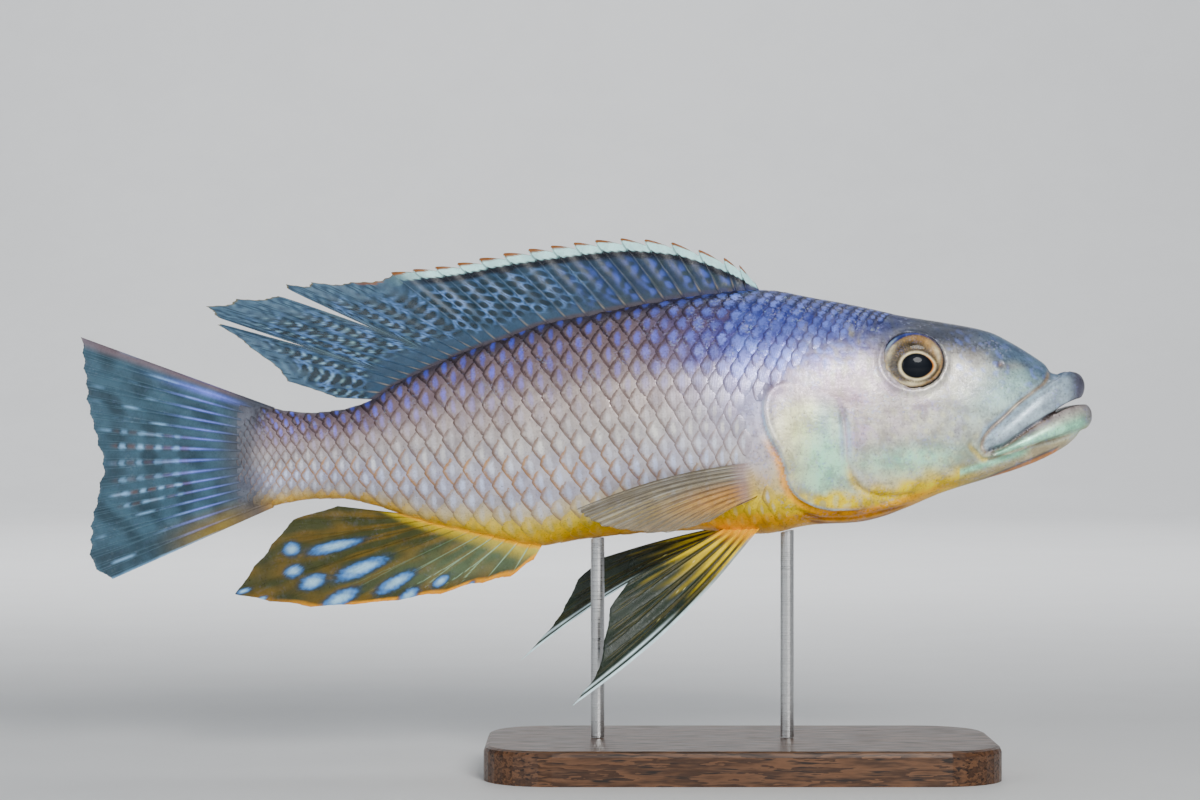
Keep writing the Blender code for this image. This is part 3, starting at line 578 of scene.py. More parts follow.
def head_markings(s, z, up, patch, colour, cover):
    """Greyish pearl, mint on the cheek and jaw, gold on the gill cover, yellow and orange under the throat."""
    fine, face = ripple(s, z, 2.6, 6), 1 - smooth(s + 0.25 * (z - 105), 78, 100)
    streaky = ripple(s * 1.7, z * 0.35, 3.2, 7)
    nape = smooth(s + 60 * (up - 0.8), 60, 80)
    ridge, along = distance_to(PREOPERCLE_LINE, s, z)
    nostril = np.hypot(s - NOSTRIL_STATION, z - NOSTRIL_HEIGHT)
    over_belly = z - belly(s)
    yellow_top = np.interp(s, [18, 30, 45, 57, 72, 85, 100], [0, 2.5, 7, 9.5, 10.5, 10, 14])
    grey = layered(colour,
        (FACE, 0.95 * face * (1 - smooth(up, 0.85, 1))),
        (CHEEK_LILAC, 0.75 * face * smooth(patch + 0.4 * fine, -0.3, 0.9) * bump(s - 72, 15)),
        (CHEEK_LILAC, 0.6 * face * smooth(0.5 * fine - patch, 0, 1.0) * bump(s - 46, 16) * bump(z - 105, 10)),
        (PALE_YELLOW, 0.4 * face * smooth(-fine, 0, 1.0) * bump(s - 42, 18) * bump(z - 98, 12)),
        (PALE_YELLOW, 0.5 * bump(s - 54, 18) * bump(z - 88 - 0.1 * (57 - s), 4)),
        (MINT, 0.85 * bump(s - 55, 17) * bump(z - 92.5 - 0.1 * (57 - s), 4.2) * (0.8 + 0.2 * fine)),
        (SNOUT_SIDE, 0.85 * bump(s - 24, 17) * bump(z - 113 + 0.5 * (s - 27), 10)),
        # the crown above the eyes is darker blue-grey: partly its own colour, partly painted shade where the head
        # turns away from the light
        (CROWN, 0.92 * smooth(up + 0.035 * patch, 0.76, 0.9) * bump(s - 50, 34)),
        (SNOUT_TOP, 0.9 * smooth(up + 0.04 * patch, 0.7, 0.88) * (1 - smooth(s, 24, 40))),
        (SKY, 0.5 * smooth(fine + 0.5 * patch, 0.3, 1.0) * bump(up - 0.8, 0.14) * (1 - smooth(s, 40, 50))),
        (NAPE_BLUE, 0.9 * smooth(up + 0.06 * patch, 0.66, 0.84) * nape * smooth(streaky, -1.2, 0.2)),
        (SKY, 0.75 * nape * bump(up - 0.76 + 0.02 * patch, 0.13) * smooth(fine + 0.4 * patch, -0.5, 0.8)),
        # darker along the top edge: partly the nape's own dark colour, partly painted shade
        (INK, 0.75 * smooth(up, 0.89, 0.98) * nape),
        (CHEEK_LILAC, 0.75 * bump(np.hypot((s - 78) / 18, (z - 116) / 8), 1) * smooth(streaky, -0.9, 0.6)),
        (ROSE, 0.5 * bump(np.hypot((s - 76) / 9, (z - 110) / 6), 1)),
        (PALE_YELLOW, cover * bump(np.hypot((s - 87) * 0.8, (z - 101) * 0.6), 7) * (0.8 + 0.2 * streaky)),
        (LAVENDER, 0.55 * cover * bump(np.hypot((s - 80.5) * 1.6, (z - 103) * 0.5), 4)),
        (MINT, 0.95 * cover * bump(np.hypot((s - 80) * 0.9, (z - 91.5) * 0.5), 7) * (0.85 + 0.15 * streaky)),
        (CHEEK_LILAC, 0.5 * cover * smooth(z, 107, 112)),
        (YELLOW, 0.7 * bump(ridge, 1.2) * smooth(92 - z, 0, 5) * taper(along, 0.25)),
        (EDGE_BLUE, 0.55 * bump(ridge - 1.1, 0.7) * smooth(z, 90, 96) * taper(along, 0.2)),
        (CHEEK_LILAC, 0.5 * bump(ridge, 0.9) * smooth(z, 92, 98)),
        (SEAM_BROWN, 0.5 * bump(nostril, 0.9) + 0.25 * bump(np.hypot((s - 25) / 5, z - 119.8), 1)),
        (YELLOW, smooth(yellow_top + 1.6 * patch - over_belly, -1.5, 2)
         * (1 - 0.4 * cover * smooth(fine, -0.2, 0.6))),
        (ORANGE, 0.75 * smooth(0.5 * yellow_top - over_belly, -0.5, 1.5) * smooth(s, 32, 55)))
    for fold in THROAT_FOLDS:
        gap, along = distance_to(rounded(fold), s, z)
        grey = blend(grey, FOLD_BROWN, 0.85 * bump(gap, 0.5) * taper(along, 0.2))
    return grey


# %% Mouth


def mouth_markings(s, z, colour):
    """Lips, the fold under the lower lip, the pale membrane below the jaw and the seam of the closed mouth."""
    jaw, jaw_along = distance_to(rounded(JAW_GROOVE), s, z)
    groove, along = distance_to(rounded(LIP_GROOVE), s, z)
    corner, corner_along = distance_to(rounded(CORNER_FOLD), s, z)
    under = curve_through(JAW_GROOVE)(s) - z  # how far below the fold under the lower lip
    hanging = curve_through(JAW_EDGE)(s) - z
    below_jaw = smooth(s, 9.5, 11.5) * (1 - smooth(s, 29, 36))
    lip = smooth(10 - distance_to(LIP_BAND, s, z)[0], 4.2, 6.2)
    above = z - curve_through(MOUTH_LINE)(s)  # how far above the line of the mouth
    return layered(colour,
        (JAW_BEIGE, 0.75 * smooth(under, 0.3, 1.4) * (1 - smooth(s, 32, 46)) * smooth(s, 4, 9)),
        (MINT, 0.9 * bump(distance_to(JAW_BAND, s, z)[0], 1.1) * smooth(s, 18, 23)),
        (MEMBRANE, smooth(hanging, 0, 0.35) * below_jaw),
        (LIP_SHADE, 0.8 * bump(hanging, 0.4) * below_jaw),
        (LIP, 0.9 * lip * (s < 34) * smooth(above, -0.6, 0.2)),
        (LIP_EDGE, 0.8 * bump(above + 1.1, 1.3) * (1 - smooth(s, 20, 28))),
        (MINT, 0.95 * bump(distance_to(LOWER_LIP_BAND, s, z)[0], np.interp(s, [4, 29], [2.4, 1.0]))),
        (SEAM_BROWN, 0.7 * bump(jaw, 0.4) * taper(jaw_along, 0.1)),
        (SEAM_BROWN, 0.7 * bump(above + 0.45, 0.4) * smooth(s, 12, 16) * (1 - smooth(s, 30, 33))),
        (LIP_SHADE, 0.75 * smooth(1.5 - above, 0, 1.3) * smooth(above, -0.2, 0.1) * (s < 32)),
        # painted highlight: pale blue lines a millimetre to each side of the lip's groove, on its rims
        (EDGE_BLUE, 0.45 * bump(groove - 1.0, 0.5) * (s > 12) * taper(along, 0.2)),
        (GROOVE_BEIGE, 0.85 * bump(groove, 0.7) * (s > 11.5)),
        (YELLOW, 0.55 * bump(corner - 0.2, 0.5) * taper(corner_along, 0.3) * (s > 32)),
        (LIP_TIP, 0.9 * smooth(9.5 - s, 0, 5) * smooth(z, 108.5, 110)),
        (LOWER_TIP, 0.85 * smooth(5 - s, 0, 5) * smooth(z, 102, 104.5) * (z < 109.3)))


# %% The whole fish


def markings(s, z):
    """The fish's colour at any station and height."""
    up = (z - belly(s)) / (back(s) - belly(s))  # 0 on the belly and 1 on the back
    patch, cover = ripple(s, z, 9, 3), inside(COVER, s, z)
    colour = body_markings(s, z, up, patch)
    head = s < 106
    colour[head] = head_markings(s[head], z[head], up[head], patch[head], colour[head], cover[head])
    edge, along = distance_to(GILL_LINE, s, z)
    fade = smooth(along, 0.25, 0.42) * smooth(1 - along, 0, 0.15)
    arm = bump(np.hypot((s - ARM[0]) / 5, (z - ARM[1]) / 6.5), 1) * ~cover
    colour = layered(colour,
        (ORANGE, 0.85 * bump(edge - 0.9, 1.3) * ~cover * smooth(101 - z, 0, 8) * (s < 100)),
        (EDGE_BLUE, 0.8 * bump(edge - 0.2, 0.45) * cover * fade),
        (ROSE, 0.6 * arm * smooth(z, 79, 84)),
        (TAIL_BASE, 0.9 * smooth(s + 0.02 * (z - 93) ** 2 + 1.2 * patch, 240, 252)))
    front = s < 40
    colour[front] = mouth_markings(s[front], z[front], colour[front])
    return np.clip(colour, 0, 1)


# %% Storing the colours on the skin
s, _, z = measure(coordinates(skin_mesh))
store(skin_mesh, "marking", markings(s, z))
from_line = np.abs(z - curve_through(MOUTH_LINE)(s))
# The mouth's gap and the seam behind it are painted dark: painted shade inside the open mouth, and a painted shadow
# line along the closed seam.
mouth_shade = smooth(curve_through(GAPE)(s) / 2 + 0.3 - from_line, 0, 0.3) * (1 - smooth(s, 15, 19))
mouth_shade = np.maximum(mouth_shade, 0.8 * smooth(0.7 - from_line, 0, 0.7) * bump(s - 20, 11))
clear_of_eye = np.hypot(s - EYE_STATION, z - EYE_HEIGHT) > EYE_LONG + 2
cheek = (s < 88) * smooth(s, 40, 56) * (1 - smooth(z, 122, 130)) * clear_of_eye
store(skin_mesh, "cheek", 0.6 * cheek * smooth(z, 82, 90))
store(skin_mesh, "mouth", mouth_shade)
# how strongly the painted pearly glints show on the skin
store(skin_mesh, "pearl", 0.4 * (1 - smooth(s, 234, 246)))
print("colours stored on", len(s), "points")

# %% [markdown]
# ## Writing materials as code
# A material is a tree of nodes. It could be wired up by hand in Blender's editor, but code is easier to read
# through and to repeat. `Graph` makes nodes in a tree and joins values or sockets to their inputs. Effects that
# several materials share are node groups with named inputs and outputs.

# %% A small writer for node trees


class Graph:
    """Writes nodes into a material or a node group."""

    def __init__(self, tree):
        self.tree = tree

    def put(self, socket, value):
        if isinstance(value, bpy.types.NodeSocket):
            self.tree.links.new(value, socket)
        elif isinstance(value, tuple) and len(value) == 3 and socket.type == "RGBA":
            socket.default_value = (*value, 1)
        else:
            socket.default_value = value

    def node(self, kind, settings=None, **inputs):
        node = self.tree.nodes.new("ShaderNode" + kind)
        for key, value in (settings or {}).items():
            setattr(node, key, value)
        for key, value in inputs.items():
            self.put(node.inputs[key.replace("_", " ")], value)
        return node

    def math(self, operation, *values):
        node = self.node("Math", {"operation": operation})
        for socket, value in zip(node.inputs, values):
            self.put(socket, value)
        return node.outputs[0]

    def times(self, *values):
        return self.math("MULTIPLY", *values)

    def plus(self, *values):
        return self.math("ADD", *values)

    def mix(self, factor, under, over, how="MIX"):
        node = self.node("Mix", {"data_type": "RGBA", "blend_type": how})
        for socket, value in ((node.inputs[0], factor), (node.inputs[6], under), (node.inputs[7], over)):
            self.put(socket, value)
        return node.outputs[2]

    def span(self, value, low, high, to_low=0.0, to_high=1.0):
        node = self.node("MapRange", {"interpolation_type": "SMOOTHSTEP"})
        for socket, v in zip(node.inputs, (value, low, high, to_low, to_high)):
            self.put(socket, v)
        return node.outputs[0]

    def noise(self, place_at, scale, detail=3.0, roughness=0.55):
        node = self.node("TexNoise", None, Vector=place_at, Scale=scale, Detail=detail, Roughness=roughness)
        return node.outputs[0]

    def named(self, name, colour=False):
        node = self.node("Attribute", {"attribute_name": name})
        return node.outputs["Color" if colour else "Fac"]


COLOUR, VALUE, PLACE = "NodeSocketColor", "NodeSocketFloat", "NodeSocketVector"
SCALE_VALUES = ("edge", "along", "across", "bold", "shade", "glow", "dash")  # what each point of a scale knows


def new_group(name, inputs, outputs):
    tree = bpy.data.node_groups.new(name, "ShaderNodeTree")
    for way, sockets in (("INPUT", inputs), ("OUTPUT", outputs)):
        for label, kind in sockets.items():
            tree.interface.new_socket(label, in_out=way, socket_type=kind)
    return tree, Graph(tree), tree.nodes.new("NodeGroupInput").outputs, tree.nodes.new("NodeGroupOutput").inputs


def use(graph, tree, **inputs):
    node = graph.node("Group", {"node_tree": tree})
    for key, value in inputs.items():
        graph.put(node.inputs[key.replace("_", " ")], value)
    return node.outputs


# %% [markdown]
# ## Mottling, flecks and a scale's face
# Fish skin is never one even tone: its pigment lies in soft patches, and crystals under the surface flash as tiny
# flecks, which are painted into the colour here as glints. Each scale has a darker rim, growth rings and often a
# bright dash, partly its own iridescent colour and partly a painted glint. Pictures could carry all this, but noise
# and cell patterns stay sharp however close the camera comes, and a few numbers change them.

# %% Mottling
# Patches of lighter and darker tone at two sizes, with matching changes in gloss and height.
patch_inputs = {"Color": COLOUR, "Place": PLACE, "Size": VALUE, "Amount": VALUE}
MOTTLE, g, got, give = new_group("Mottling", patch_inputs, {"Color": COLOUR, "Roughness": VALUE, "Height": VALUE})
broad = g.noise(got["Place"], got["Size"], 2)
fine = g.noise(got["Place"], g.times(got["Size"], 7.3), 4, 0.65)
tone = g.plus(g.times(broad, 0.6), g.times(fine, 0.4))
darker = g.mix(1.0, got["Color"], (0.62, 0.58, 0.66), "MULTIPLY")
lighter = g.mix(1.0, got["Color"], (1.3, 1.3, 1.36), "MULTIPLY")
toned = g.mix(g.span(tone, 0.38, 0.62), darker, lighter)
g.put(give["Color"], g.mix(got["Amount"], got["Color"], toned))
g.put(give["Roughness"], g.span(fine, 0.3, 0.7, 0.26, 0.5))
g.put(give["Height"], fine)

# %% Painted pearly glints
# Painted glints: spots of blue, violet and mint in the colour, standing in for tiny facets that catch the light, as
# the crystals in a fish's skin do.
PEARL_GROUP, g, got, give = new_group("Pearly flecks", patch_inputs, {"Color": COLOUR, "Mask": VALUE})
cell = g.node("TexVoronoi", None, Vector=got["Place"], Scale=got["Size"])
chances = g.node("SeparateColor", None, Color=cell.outputs["Color"]).outputs  # three random numbers for each cell
hue = g.node("ValToRGB", None, Fac=chances[0])
stops = hue.color_ramp.elements
stops[0].position, stops[0].color = 0.0, (0.3, 0.38, 0.95, 1)
stops[1].position, stops[1].color = 1.0, (0.75, 0.9, 0.8, 1)
for spot, colour in ((0.35, (0.45, 0.4, 0.95, 1)), (0.65, (0.45, 0.7, 0.95, 1)), (0.85, (0.7, 0.6, 0.9, 1))):
    stops.new(spot).color = colour
drift = g.span(g.noise(got["Place"], g.times(got["Size"], 0.12), 3), 0.42, 0.68)
mask = g.times(g.times(g.span(chances[1], 0.45, 0.95), drift), got["Amount"])
g.put(give["Color"], g.mix(mask, got["Color"], g.mix(0.25, hue.outputs[0], got["Color"])))
g.put(give["Mask"], mask)

# %% A scale's face
# A scale is rusty along its rear edge, with a bright dash across its middle and growth rings. The dash is partly the
# scale's own iridescent colour and partly a painted glint. Edge is the distance from the rear edge, Dash is half the
# width of the bright dash, and Glow is its strength.
SCALE_GROUP, g, got, give = new_group(
    "Scale face", {"Color": COLOUR, "Rim Color": COLOUR, "Glow Color": COLOUR, "Place": PLACE,
                   **{label.title(): VALUE for label in SCALE_VALUES}}, {"Color": COLOUR, "Height": VALUE})
grain = g.noise(got["Place"], 1100.0, 3, 0.6)
loose = g.times(g.math("SUBTRACT", grain, 0.5), g.times(got["Dash"], 9.0))
darker = g.mix(1.0, got["Color"], (0.5, 0.46, 0.52), "MULTIPLY")
shaded = g.mix(g.times(got["Shade"], 0.3), got["Color"], darker)
lengthways = g.math("DIVIDE", g.math("SUBTRACT", got["Along"], 0.69), got["Dash"])
crossways = g.math("DIVIDE", got["Across"], 0.62)
reach = g.math("SQRT", g.plus(*(g.math("POWER", g.math("ABSOLUTE", way), 2.0) for way in (lengthways, crossways))))
dash = g.times(g.span(g.plus(reach, loose), 0.3, 1.15, 1.0, 0.0), got["Glow"])
lit = g.mix(dash, shaded, got["Glow Color"])
uneven = g.plus(got["Edge"], g.times(loose, 0.25))
rim = g.times(g.span(uneven, 0.03, 0.2, 1.0, 0.0), got["Bold"])
g.put(give["Color"], g.mix(rim, lit, got["Rim Color"]))
rings = g.math("SINE", g.times(got["Along"], 60.0))
spokes = g.math("SINE", g.times(got["Across"], 34.0))
g.put(give["Height"], g.plus(g.times(rings, 0.22), g.times(spokes, 0.15)))
print("shader groups", [t.name for t in (MOTTLE, PEARL_GROUP, SCALE_GROUP)])

# %% [markdown]
# ## Materials of the fish
# Real scales and skin look wet: light is mirrored by a clear film, and the crystals below are a little metallic.
# Separate glass and paint layers could be built, but the shader's own coat does it in one. Each material reads the
# stored marking and lays mottling and painted glints over it. The coat's weight and the metallic share are the same
# all over a piece, so they are set on the shader's own sockets.

# %% Starting and finishing a material


def new_material(name):
    material = bpy.data.materials.new(name)
    material.use_nodes = True
    graph = Graph(material.node_tree)
    shader = material.node_tree.nodes["Principled BSDF"]
    where = graph.node("TexCoord").outputs["Object"]
    return material, graph, shader, where


def finish_material(graph, shader, height, distance, strength=0.5, **values):
    bump_node = graph.node("Bump", None, Strength=strength, Distance=distance * MM, Height=height)
    graph.put(shader.inputs["Normal"], bump_node.outputs[0])
    for key, value in values.items():
        graph.put(shader.inputs[key.replace("_", " ")], value)


# %% Skin, scales and fins
SKIN_MATERIAL, g, shader, where = new_material("fish skin")
mottled = use(g, MOTTLE, Color=g.named("marking", True), Place=where, Size=190.0, Amount=0.75)
pearly = use(g, PEARL_GROUP, Color=mottled["Color"], Place=where, Size=1500.0, Amount=g.named("pearl"))
# painted shade over the mouth's gap and its seam
skin_colour = g.mix(g.named("mouth"), pearly["Color"], MOUTH_SHADE)
cells = g.node("TexVoronoi", None, Vector=where, Scale=620.0, Randomness=0.45).outputs["Distance"]
height = g.math("SUBTRACT", mottled["Height"], g.times(cells, g.named("cheek")))
finish_material(g, shader, height, 0.16, 0.4, Base_Color=skin_colour, Roughness=mottled["Roughness"],
                Coat_Weight=0.1, Coat_Roughness=0.1, Metallic=0.35, Specular_IOR_Level=0.22)

SCALE_MATERIAL, g, shader, where = new_material("fish scales")
faced = use(g, SCALE_GROUP, Color=g.named("marking", True), Rim_Color=g.named("rim_colour", True),
            Glow_Color=g.named("glow_colour", True), Place=where,
            **{label.title(): g.named(label) for label in SCALE_VALUES})
mottled = use(g, MOTTLE, Color=faced["Color"], Place=where, Size=260.0, Amount=0.4)
pearly = use(g, PEARL_GROUP, Color=mottled["Color"], Place=where, Size=1800.0, Amount=g.named("pearl"))
finish_material(g, shader, faced["Height"], 0.05, 0.3, Base_Color=pearly["Color"], Roughness=mottled["Roughness"],
                Coat_Weight=0.1, Coat_Roughness=0.08, Metallic=0.4, Specular_IOR_Level=0.22)

FIN_MATERIAL, g, shader, where = new_material("fin")
mottled = use(g, MOTTLE, Color=g.named("marking", True), Place=where, Size=240.0, Amount=0.35)
pearly = use(g, PEARL_GROUP, Color=mottled["Color"], Place=where, Size=1500.0,
             Amount=g.times(g.named("pearl"), 0.35))
joints = g.times(g.math("SINE", g.times(g.named("run"), 7.0)), g.named("ray"))
height = g.plus(mottled["Height"], g.times(joints, 0.3))
finish_material(g, shader, height, 0.08, 0.5, Base_Color=pearly["Color"], Roughness=mottled["Roughness"],
                Alpha=g.named("see"), Coat_Weight=0.03, Coat_Roughness=0.15, Specular_IOR_Level=0.14)
for material in (SKIN_MATERIAL, SCALE_MATERIAL, FIN_MATERIAL):
    print(material.name, len(material.node_tree.nodes), "nodes")
skin_mesh.materials.append(SKIN_MATERIAL)
dress(skin, "skin", "head", "lower_jaw", "gill_cover_left", "gill_cover_right", "torso", "tail_stem")

# %% [markdown]
# ## A coat of real scales
# Fish scales lie in rows along the body, each row half a scale out of step with the next, and each scale covers
# the roots of the ones behind it. A pattern of bumps could stand for them, but real plates catch the light along
# their edges and cast small shadows. The rows are laid out on the skin's own measure: the station, and the distance
# round the body from the middle of the flank.

# %% Measures of the coat
SCALE_PITCH = [(54, 1.8), (64, 2.1), (80, 2.7), (98, 3.6), (112, 4.5), (128, 5.3), (150, 5.7), (180, 5.7), (205, 5.0),
               (216, 4.6), (228, 3.8), (238, 3.0), (245, 2.2), (253, 1.6), (258, 1.5)]
ROW_PITCH = [(54, 2.6), (64, 3.0), (80, 3.8), (98, 4.7), (115, 5.2), (150, 5.7), (180, 5.5), (205, 4.8), (216, 4.4),
             (228, 3.6), (238, 2.9), (245, 2.2), (253, 1.7), (258, 1.6)]
SCALE_LENGTH, SCALE_WIDTH = 1.6, 1.72  # in pitches
ROW_SHARE = 0.87  # distance between rows, in row pitches
WIDEST_AT = 0.675  # share of its length where a scale begins to narrow to its point
# where a plate's points lie along its length, from root to point, and across it from its middle
SCALE_A = (0, 0.4, 0.6, 0.74, 0.87, 1)
SCALE_B = (-1, -0.9, -0.76, -0.4, 0, 0.4, 0.76, 0.9, 1)
COAT_START, REAR_COAT, COAT_END = 55.0, 150.0, 252  # stations; the coat's rear piece begins at the middle one
# the height of the side view, and the station behind which the flank wears scales there
COAT_FRONT = [(70, 85.5), (76, 88), (80.5, 89), (86, 93), (94, 95.5), (98, 98), (103, 100.5), (108, 101.3),
              (112, 100.5), (116, 95), (124, 87)]
UV_START, UV_LENGTH, UV_GIRTH = 50, 215, 110  # the UV map's first station, its length and its height, in millimetres
UV_SCALE = 0.003  # one scale's share of the map
pitch, row_pitch = curve_through(SCALE_PITCH), curve_through(ROW_PITCH)
skin_tree = BVHTree.FromPolygons([tuple(c) for c in coordinates(skin_mesh)],
                                 [tuple(p.vertices) for p in skin_mesh.polygons])
print("scales are", [round(float(pitch(s)), 1) for s in (60, 100, 150, 240)], "mm apart from nape to tail")

# %% Laying out the scales


def girth(station):
    """Distances round one flank from its middle, upwards positive, against the angle from the back."""
    angles = np.linspace(0.001, math.pi - 0.001, 240)
    across, height = section(np.full(240, float(station)), angles)
    run = np.concatenate([[0], np.cumsum(np.hypot(np.diff(across), np.diff(height)))])
    middle = np.interp(math.pi / 2, angles, run)
    return middle - run, angles


def is_scaled(s, z):
    """Whether this place of the side view wears scales: not the face, and not under the gill cover's edge."""
    nape = z > 123.5 + 0.42 * (84 - s) - 6 * smooth(s, 84, 92)
    behind = s > np.interp(z, *zip(*COAT_FRONT))
    arm_base = np.hypot((s - ARM[0]) / 5.5, (z - ARM[1]) / 7.5) < 1
    tail_end = 251 - 0.03 * (z - 93) ** 2 + 1.8 * np.sin(1.1 * z)
    return (behind | ((s > 58) & nape)) & (s < tail_end) & ~arm_base


def layout():
    """The root of every scale on one flank: where it is, where the next station lies, its pitches and its row."""
    roots, station, step = [], COAT_START, 0
    while station < COAT_END:
        p, q = float(pitch(station)), float(row_pitch(station))
        run, angles = girth(station)
        ahead, ahead_angles = girth(station + 1)
        reach = int(max(run[0], -run[-1]) / (ROW_SHARE * q)) + 1
        for row in range(-reach, reach + 1):
            if (row + step) % 2:
                continue
            around = row * ROW_SHARE * q
            if not run[-1] + 0.15 * q < around < run[0] - 0.12 * q:
                continue
            angle = np.interp(-around, -run, angles)
            next_around = np.clip(row * ROW_SHARE * float(row_pitch(station + 1)), ahead[-1], ahead[0])
            next_angle = np.interp(-next_around, -ahead, ahead_angles)
            across, z = section(station, angle)
            if not is_scaled(np.array(station), z):
                continue
            next_across, next_z = section(station + 1, next_angle)
            roots.append((station, float(across), float(z), float(next_across), float(next_z), p, q, float(around)))
        station += p / 2
        step += 1
    return roots


scale_roots = layout()
print("scales on one side", len(scale_roots))

# %% [markdown]
# ## One scale after another
# A scale is a small closed plate with a pointed free edge, bent to the skin and lifted towards its point. Its rusty
# rim and the bright dash on it change with its height on the flank, so they are looked up in tables. The dash is
# partly the scale's own iridescent colour and partly a painted glint. One plate could be copied many times by
# Blender, but plates laid point by point follow the skin exactly, and each keeps its own lean, size and tone. All
# plates of a piece are joined in one mesh.

# %% Colours of rims and dashes
RIMS = [(0, (0.6, 0.3, 0.0)), (0.14, (0.45, 0.25, 0.08)), (0.28, (0.3, 0.17, 0.1)), (0.5, (0.22, 0.15, 0.12)),
        (0.75, (0.12, 0.07, 0.065)), (0.92, (0.04, 0.025, 0.03))]
# the bright dash by height on the flank: share of the way up, colour and strength; partly the scale's own iridescent
# colour, partly a painted glint
GLOWS = [(0, (1.0, 0.8, 0.1), 0.5), (0.16, (0.7, 0.78, 1.0), 0.8), (0.3, (0.66, 0.74, 1.0), 0.95),
         (0.44, (0.86, 0.84, 0.78), 0.8), (0.58, (0.6, 0.55, 0.62), 0.5), (0.7, (0.36, 0.3, 0.8), 0.55),
         (0.82, (0.2, 0.2, 0.95), 0.85), (0.95, (0.1, 0.14, 0.85), 0.9)]
LOW_DOTS = (0.62, 0.28, 0.03)


def by_height(table, up):
    """The colour at a height on the flank, mixed from the nearest rows of a table."""
    return np.array([np.interp(up, [row[0] for row in table], part) for part in zip(*[row[1] for row in table])])

# %% The plate


def plate_shape():
    """One scale's grid, its width along its length, its distance to the pointed edge, and its faces."""
    a, b = np.meshgrid(SCALE_A, SCALE_B, indexing="ij")
    narrowing = np.clip((1 - a) / (1 - WIDEST_AT), 0.01, 1)
    width = np.where(a < WIDEST_AT, 0.9 + 0.1 * a / WIDEST_AT, narrowing**0.74)
    point = SCALE_LENGTH * (1 - WIDEST_AT)
    lean = point / math.hypot(point, SCALE_WIDTH / 2)
    from_edge = lean * SCALE_WIDTH / 2 * ((1 - a) / (1 - WIDEST_AT) - np.abs(b) * width)
    grid = np.arange(a.size).reshape(a.shape)
    faces, loop = grid_faces(grid).tolist(), outline(grid)
    under = [a.size + k for k in range(len(loop))]
    faces += [(loop[k - 1], loop[k], under[k], under[k - 1]) for k in range(len(loop))]
    return a, b, width, np.clip(from_edge, 0, None), faces + [tuple(under[::-1])], loop


# %% One scale on the skin


def lay_plate(root, side, a, b, width, loop, tilt, size):
    """Points of one scale: its grid laid on the skin and lifted towards the free edge, and then its underside."""
    station, across, z, next_across, next_z, p, q, _ = root
    here = place((station, side * across, z))
    spot, normal, _, _ = skin_tree.find_nearest(Vector(here))
    normal = np.array(normal)
    back_way = place((station + 1, side * next_across, next_z)) - here
    back_way -= normal * (back_way @ normal)
    back_way /= np.linalg.norm(back_way)
    over_way = np.cross(normal, back_way) * -side  # towards the back of the fish
    over_mm = b * width * SCALE_WIDTH / 2 * q * size
    along_mm = (a * SCALE_LENGTH - 0.25) * p * size + tilt * over_mm
    shape = np.array(spot) + (along_mm[..., None] * back_way + over_mm[..., None] * over_way) * MM
    arch = 0.034 * a**1.3 * (1 - 0.2 * b**2) + 0.012 * (1 - b**2)
    sides = 0.35 * np.abs(b) ** 4 * (1 - smooth(a, 0.42, 0.66))  # how far the covered sides dip into the skin
    lifts = ((0.05 - 0.35 * (1 - smooth(a, 0, 0.34)) + p * arch - sides) * MM).ravel()
    unders = np.minimum(np.maximum(lifts - 0.22 * MM, -0.1 * MM), lifts - 0.05 * MM)
    hits = [skin_tree.find_nearest(Vector(corner))[:2] for corner in shape.reshape(-1, 3)]
    points = [hit + out * float(h) for (hit, out), h in zip(hits, lifts)]
    return points + [hits[k][0] + hits[k][1] * float(unders[k]) for k in loop]


def scale_look(station, up, rng):
    """One scale's rim and dash colours, and its bold, shade, glow, dash and pearl values."""
    nape = float(smooth(up, 0.56, 0.7) * (1 - smooth(station, 100, 140)))
    tail = float(smooth(station, 236, 247))
    # the strength of the bright dash, partly a painted glint
    glow = float(np.interp(up, [r[0] for r in GLOWS], [r[2] for r in GLOWS])) * rng.uniform(0.6, 1.0)
    glow = (glow + (rng.uniform(0.4, 1.0) - glow) * nape) * (1 - tail)
    glow *= float(0.35 + 0.65 * smooth(up, 0.06, 0.2))
    glow_colour = by_height(GLOWS, up)
    glow_colour += (np.array(SKY) * rng.uniform(0.5, 1.1) - glow_colour) * 0.7 * nape
    bold = 0.85 - 0.45 * float(bump(station - 104, 20) * bump(up - 0.5, 0.3)) - 0.5 * tail - 0.35 * nape
    bold *= 0.2 + 0.8 * float(smooth(up, 0.06, 0.26))
    dots = bump(up - 0.34, 0.07) * smooth(station, 120, 150) * (1 - smooth(station, 235, 245))
    rim_colour = by_height(RIMS, up)
    rim_colour += (np.array(LOW_DOTS) - rim_colour) * 0.6 * dots
    # how strongly the painted pearly glints show on this scale
    pearl = (0.06 + 0.25 * nape) * (1 - tail)
    pearl = pearl + 0.2 * float(bump(up - 0.84, 0.15)) + 0.15 * float(bump(up - 0.3, 0.12))
    shade = rng.uniform(0, 1)
    return rim_colour, glow_colour, (bold, shade, glow, 0.1 + 0.16 * nape + rng.uniform(0, 0.03), pearl)


# %% The whole coat


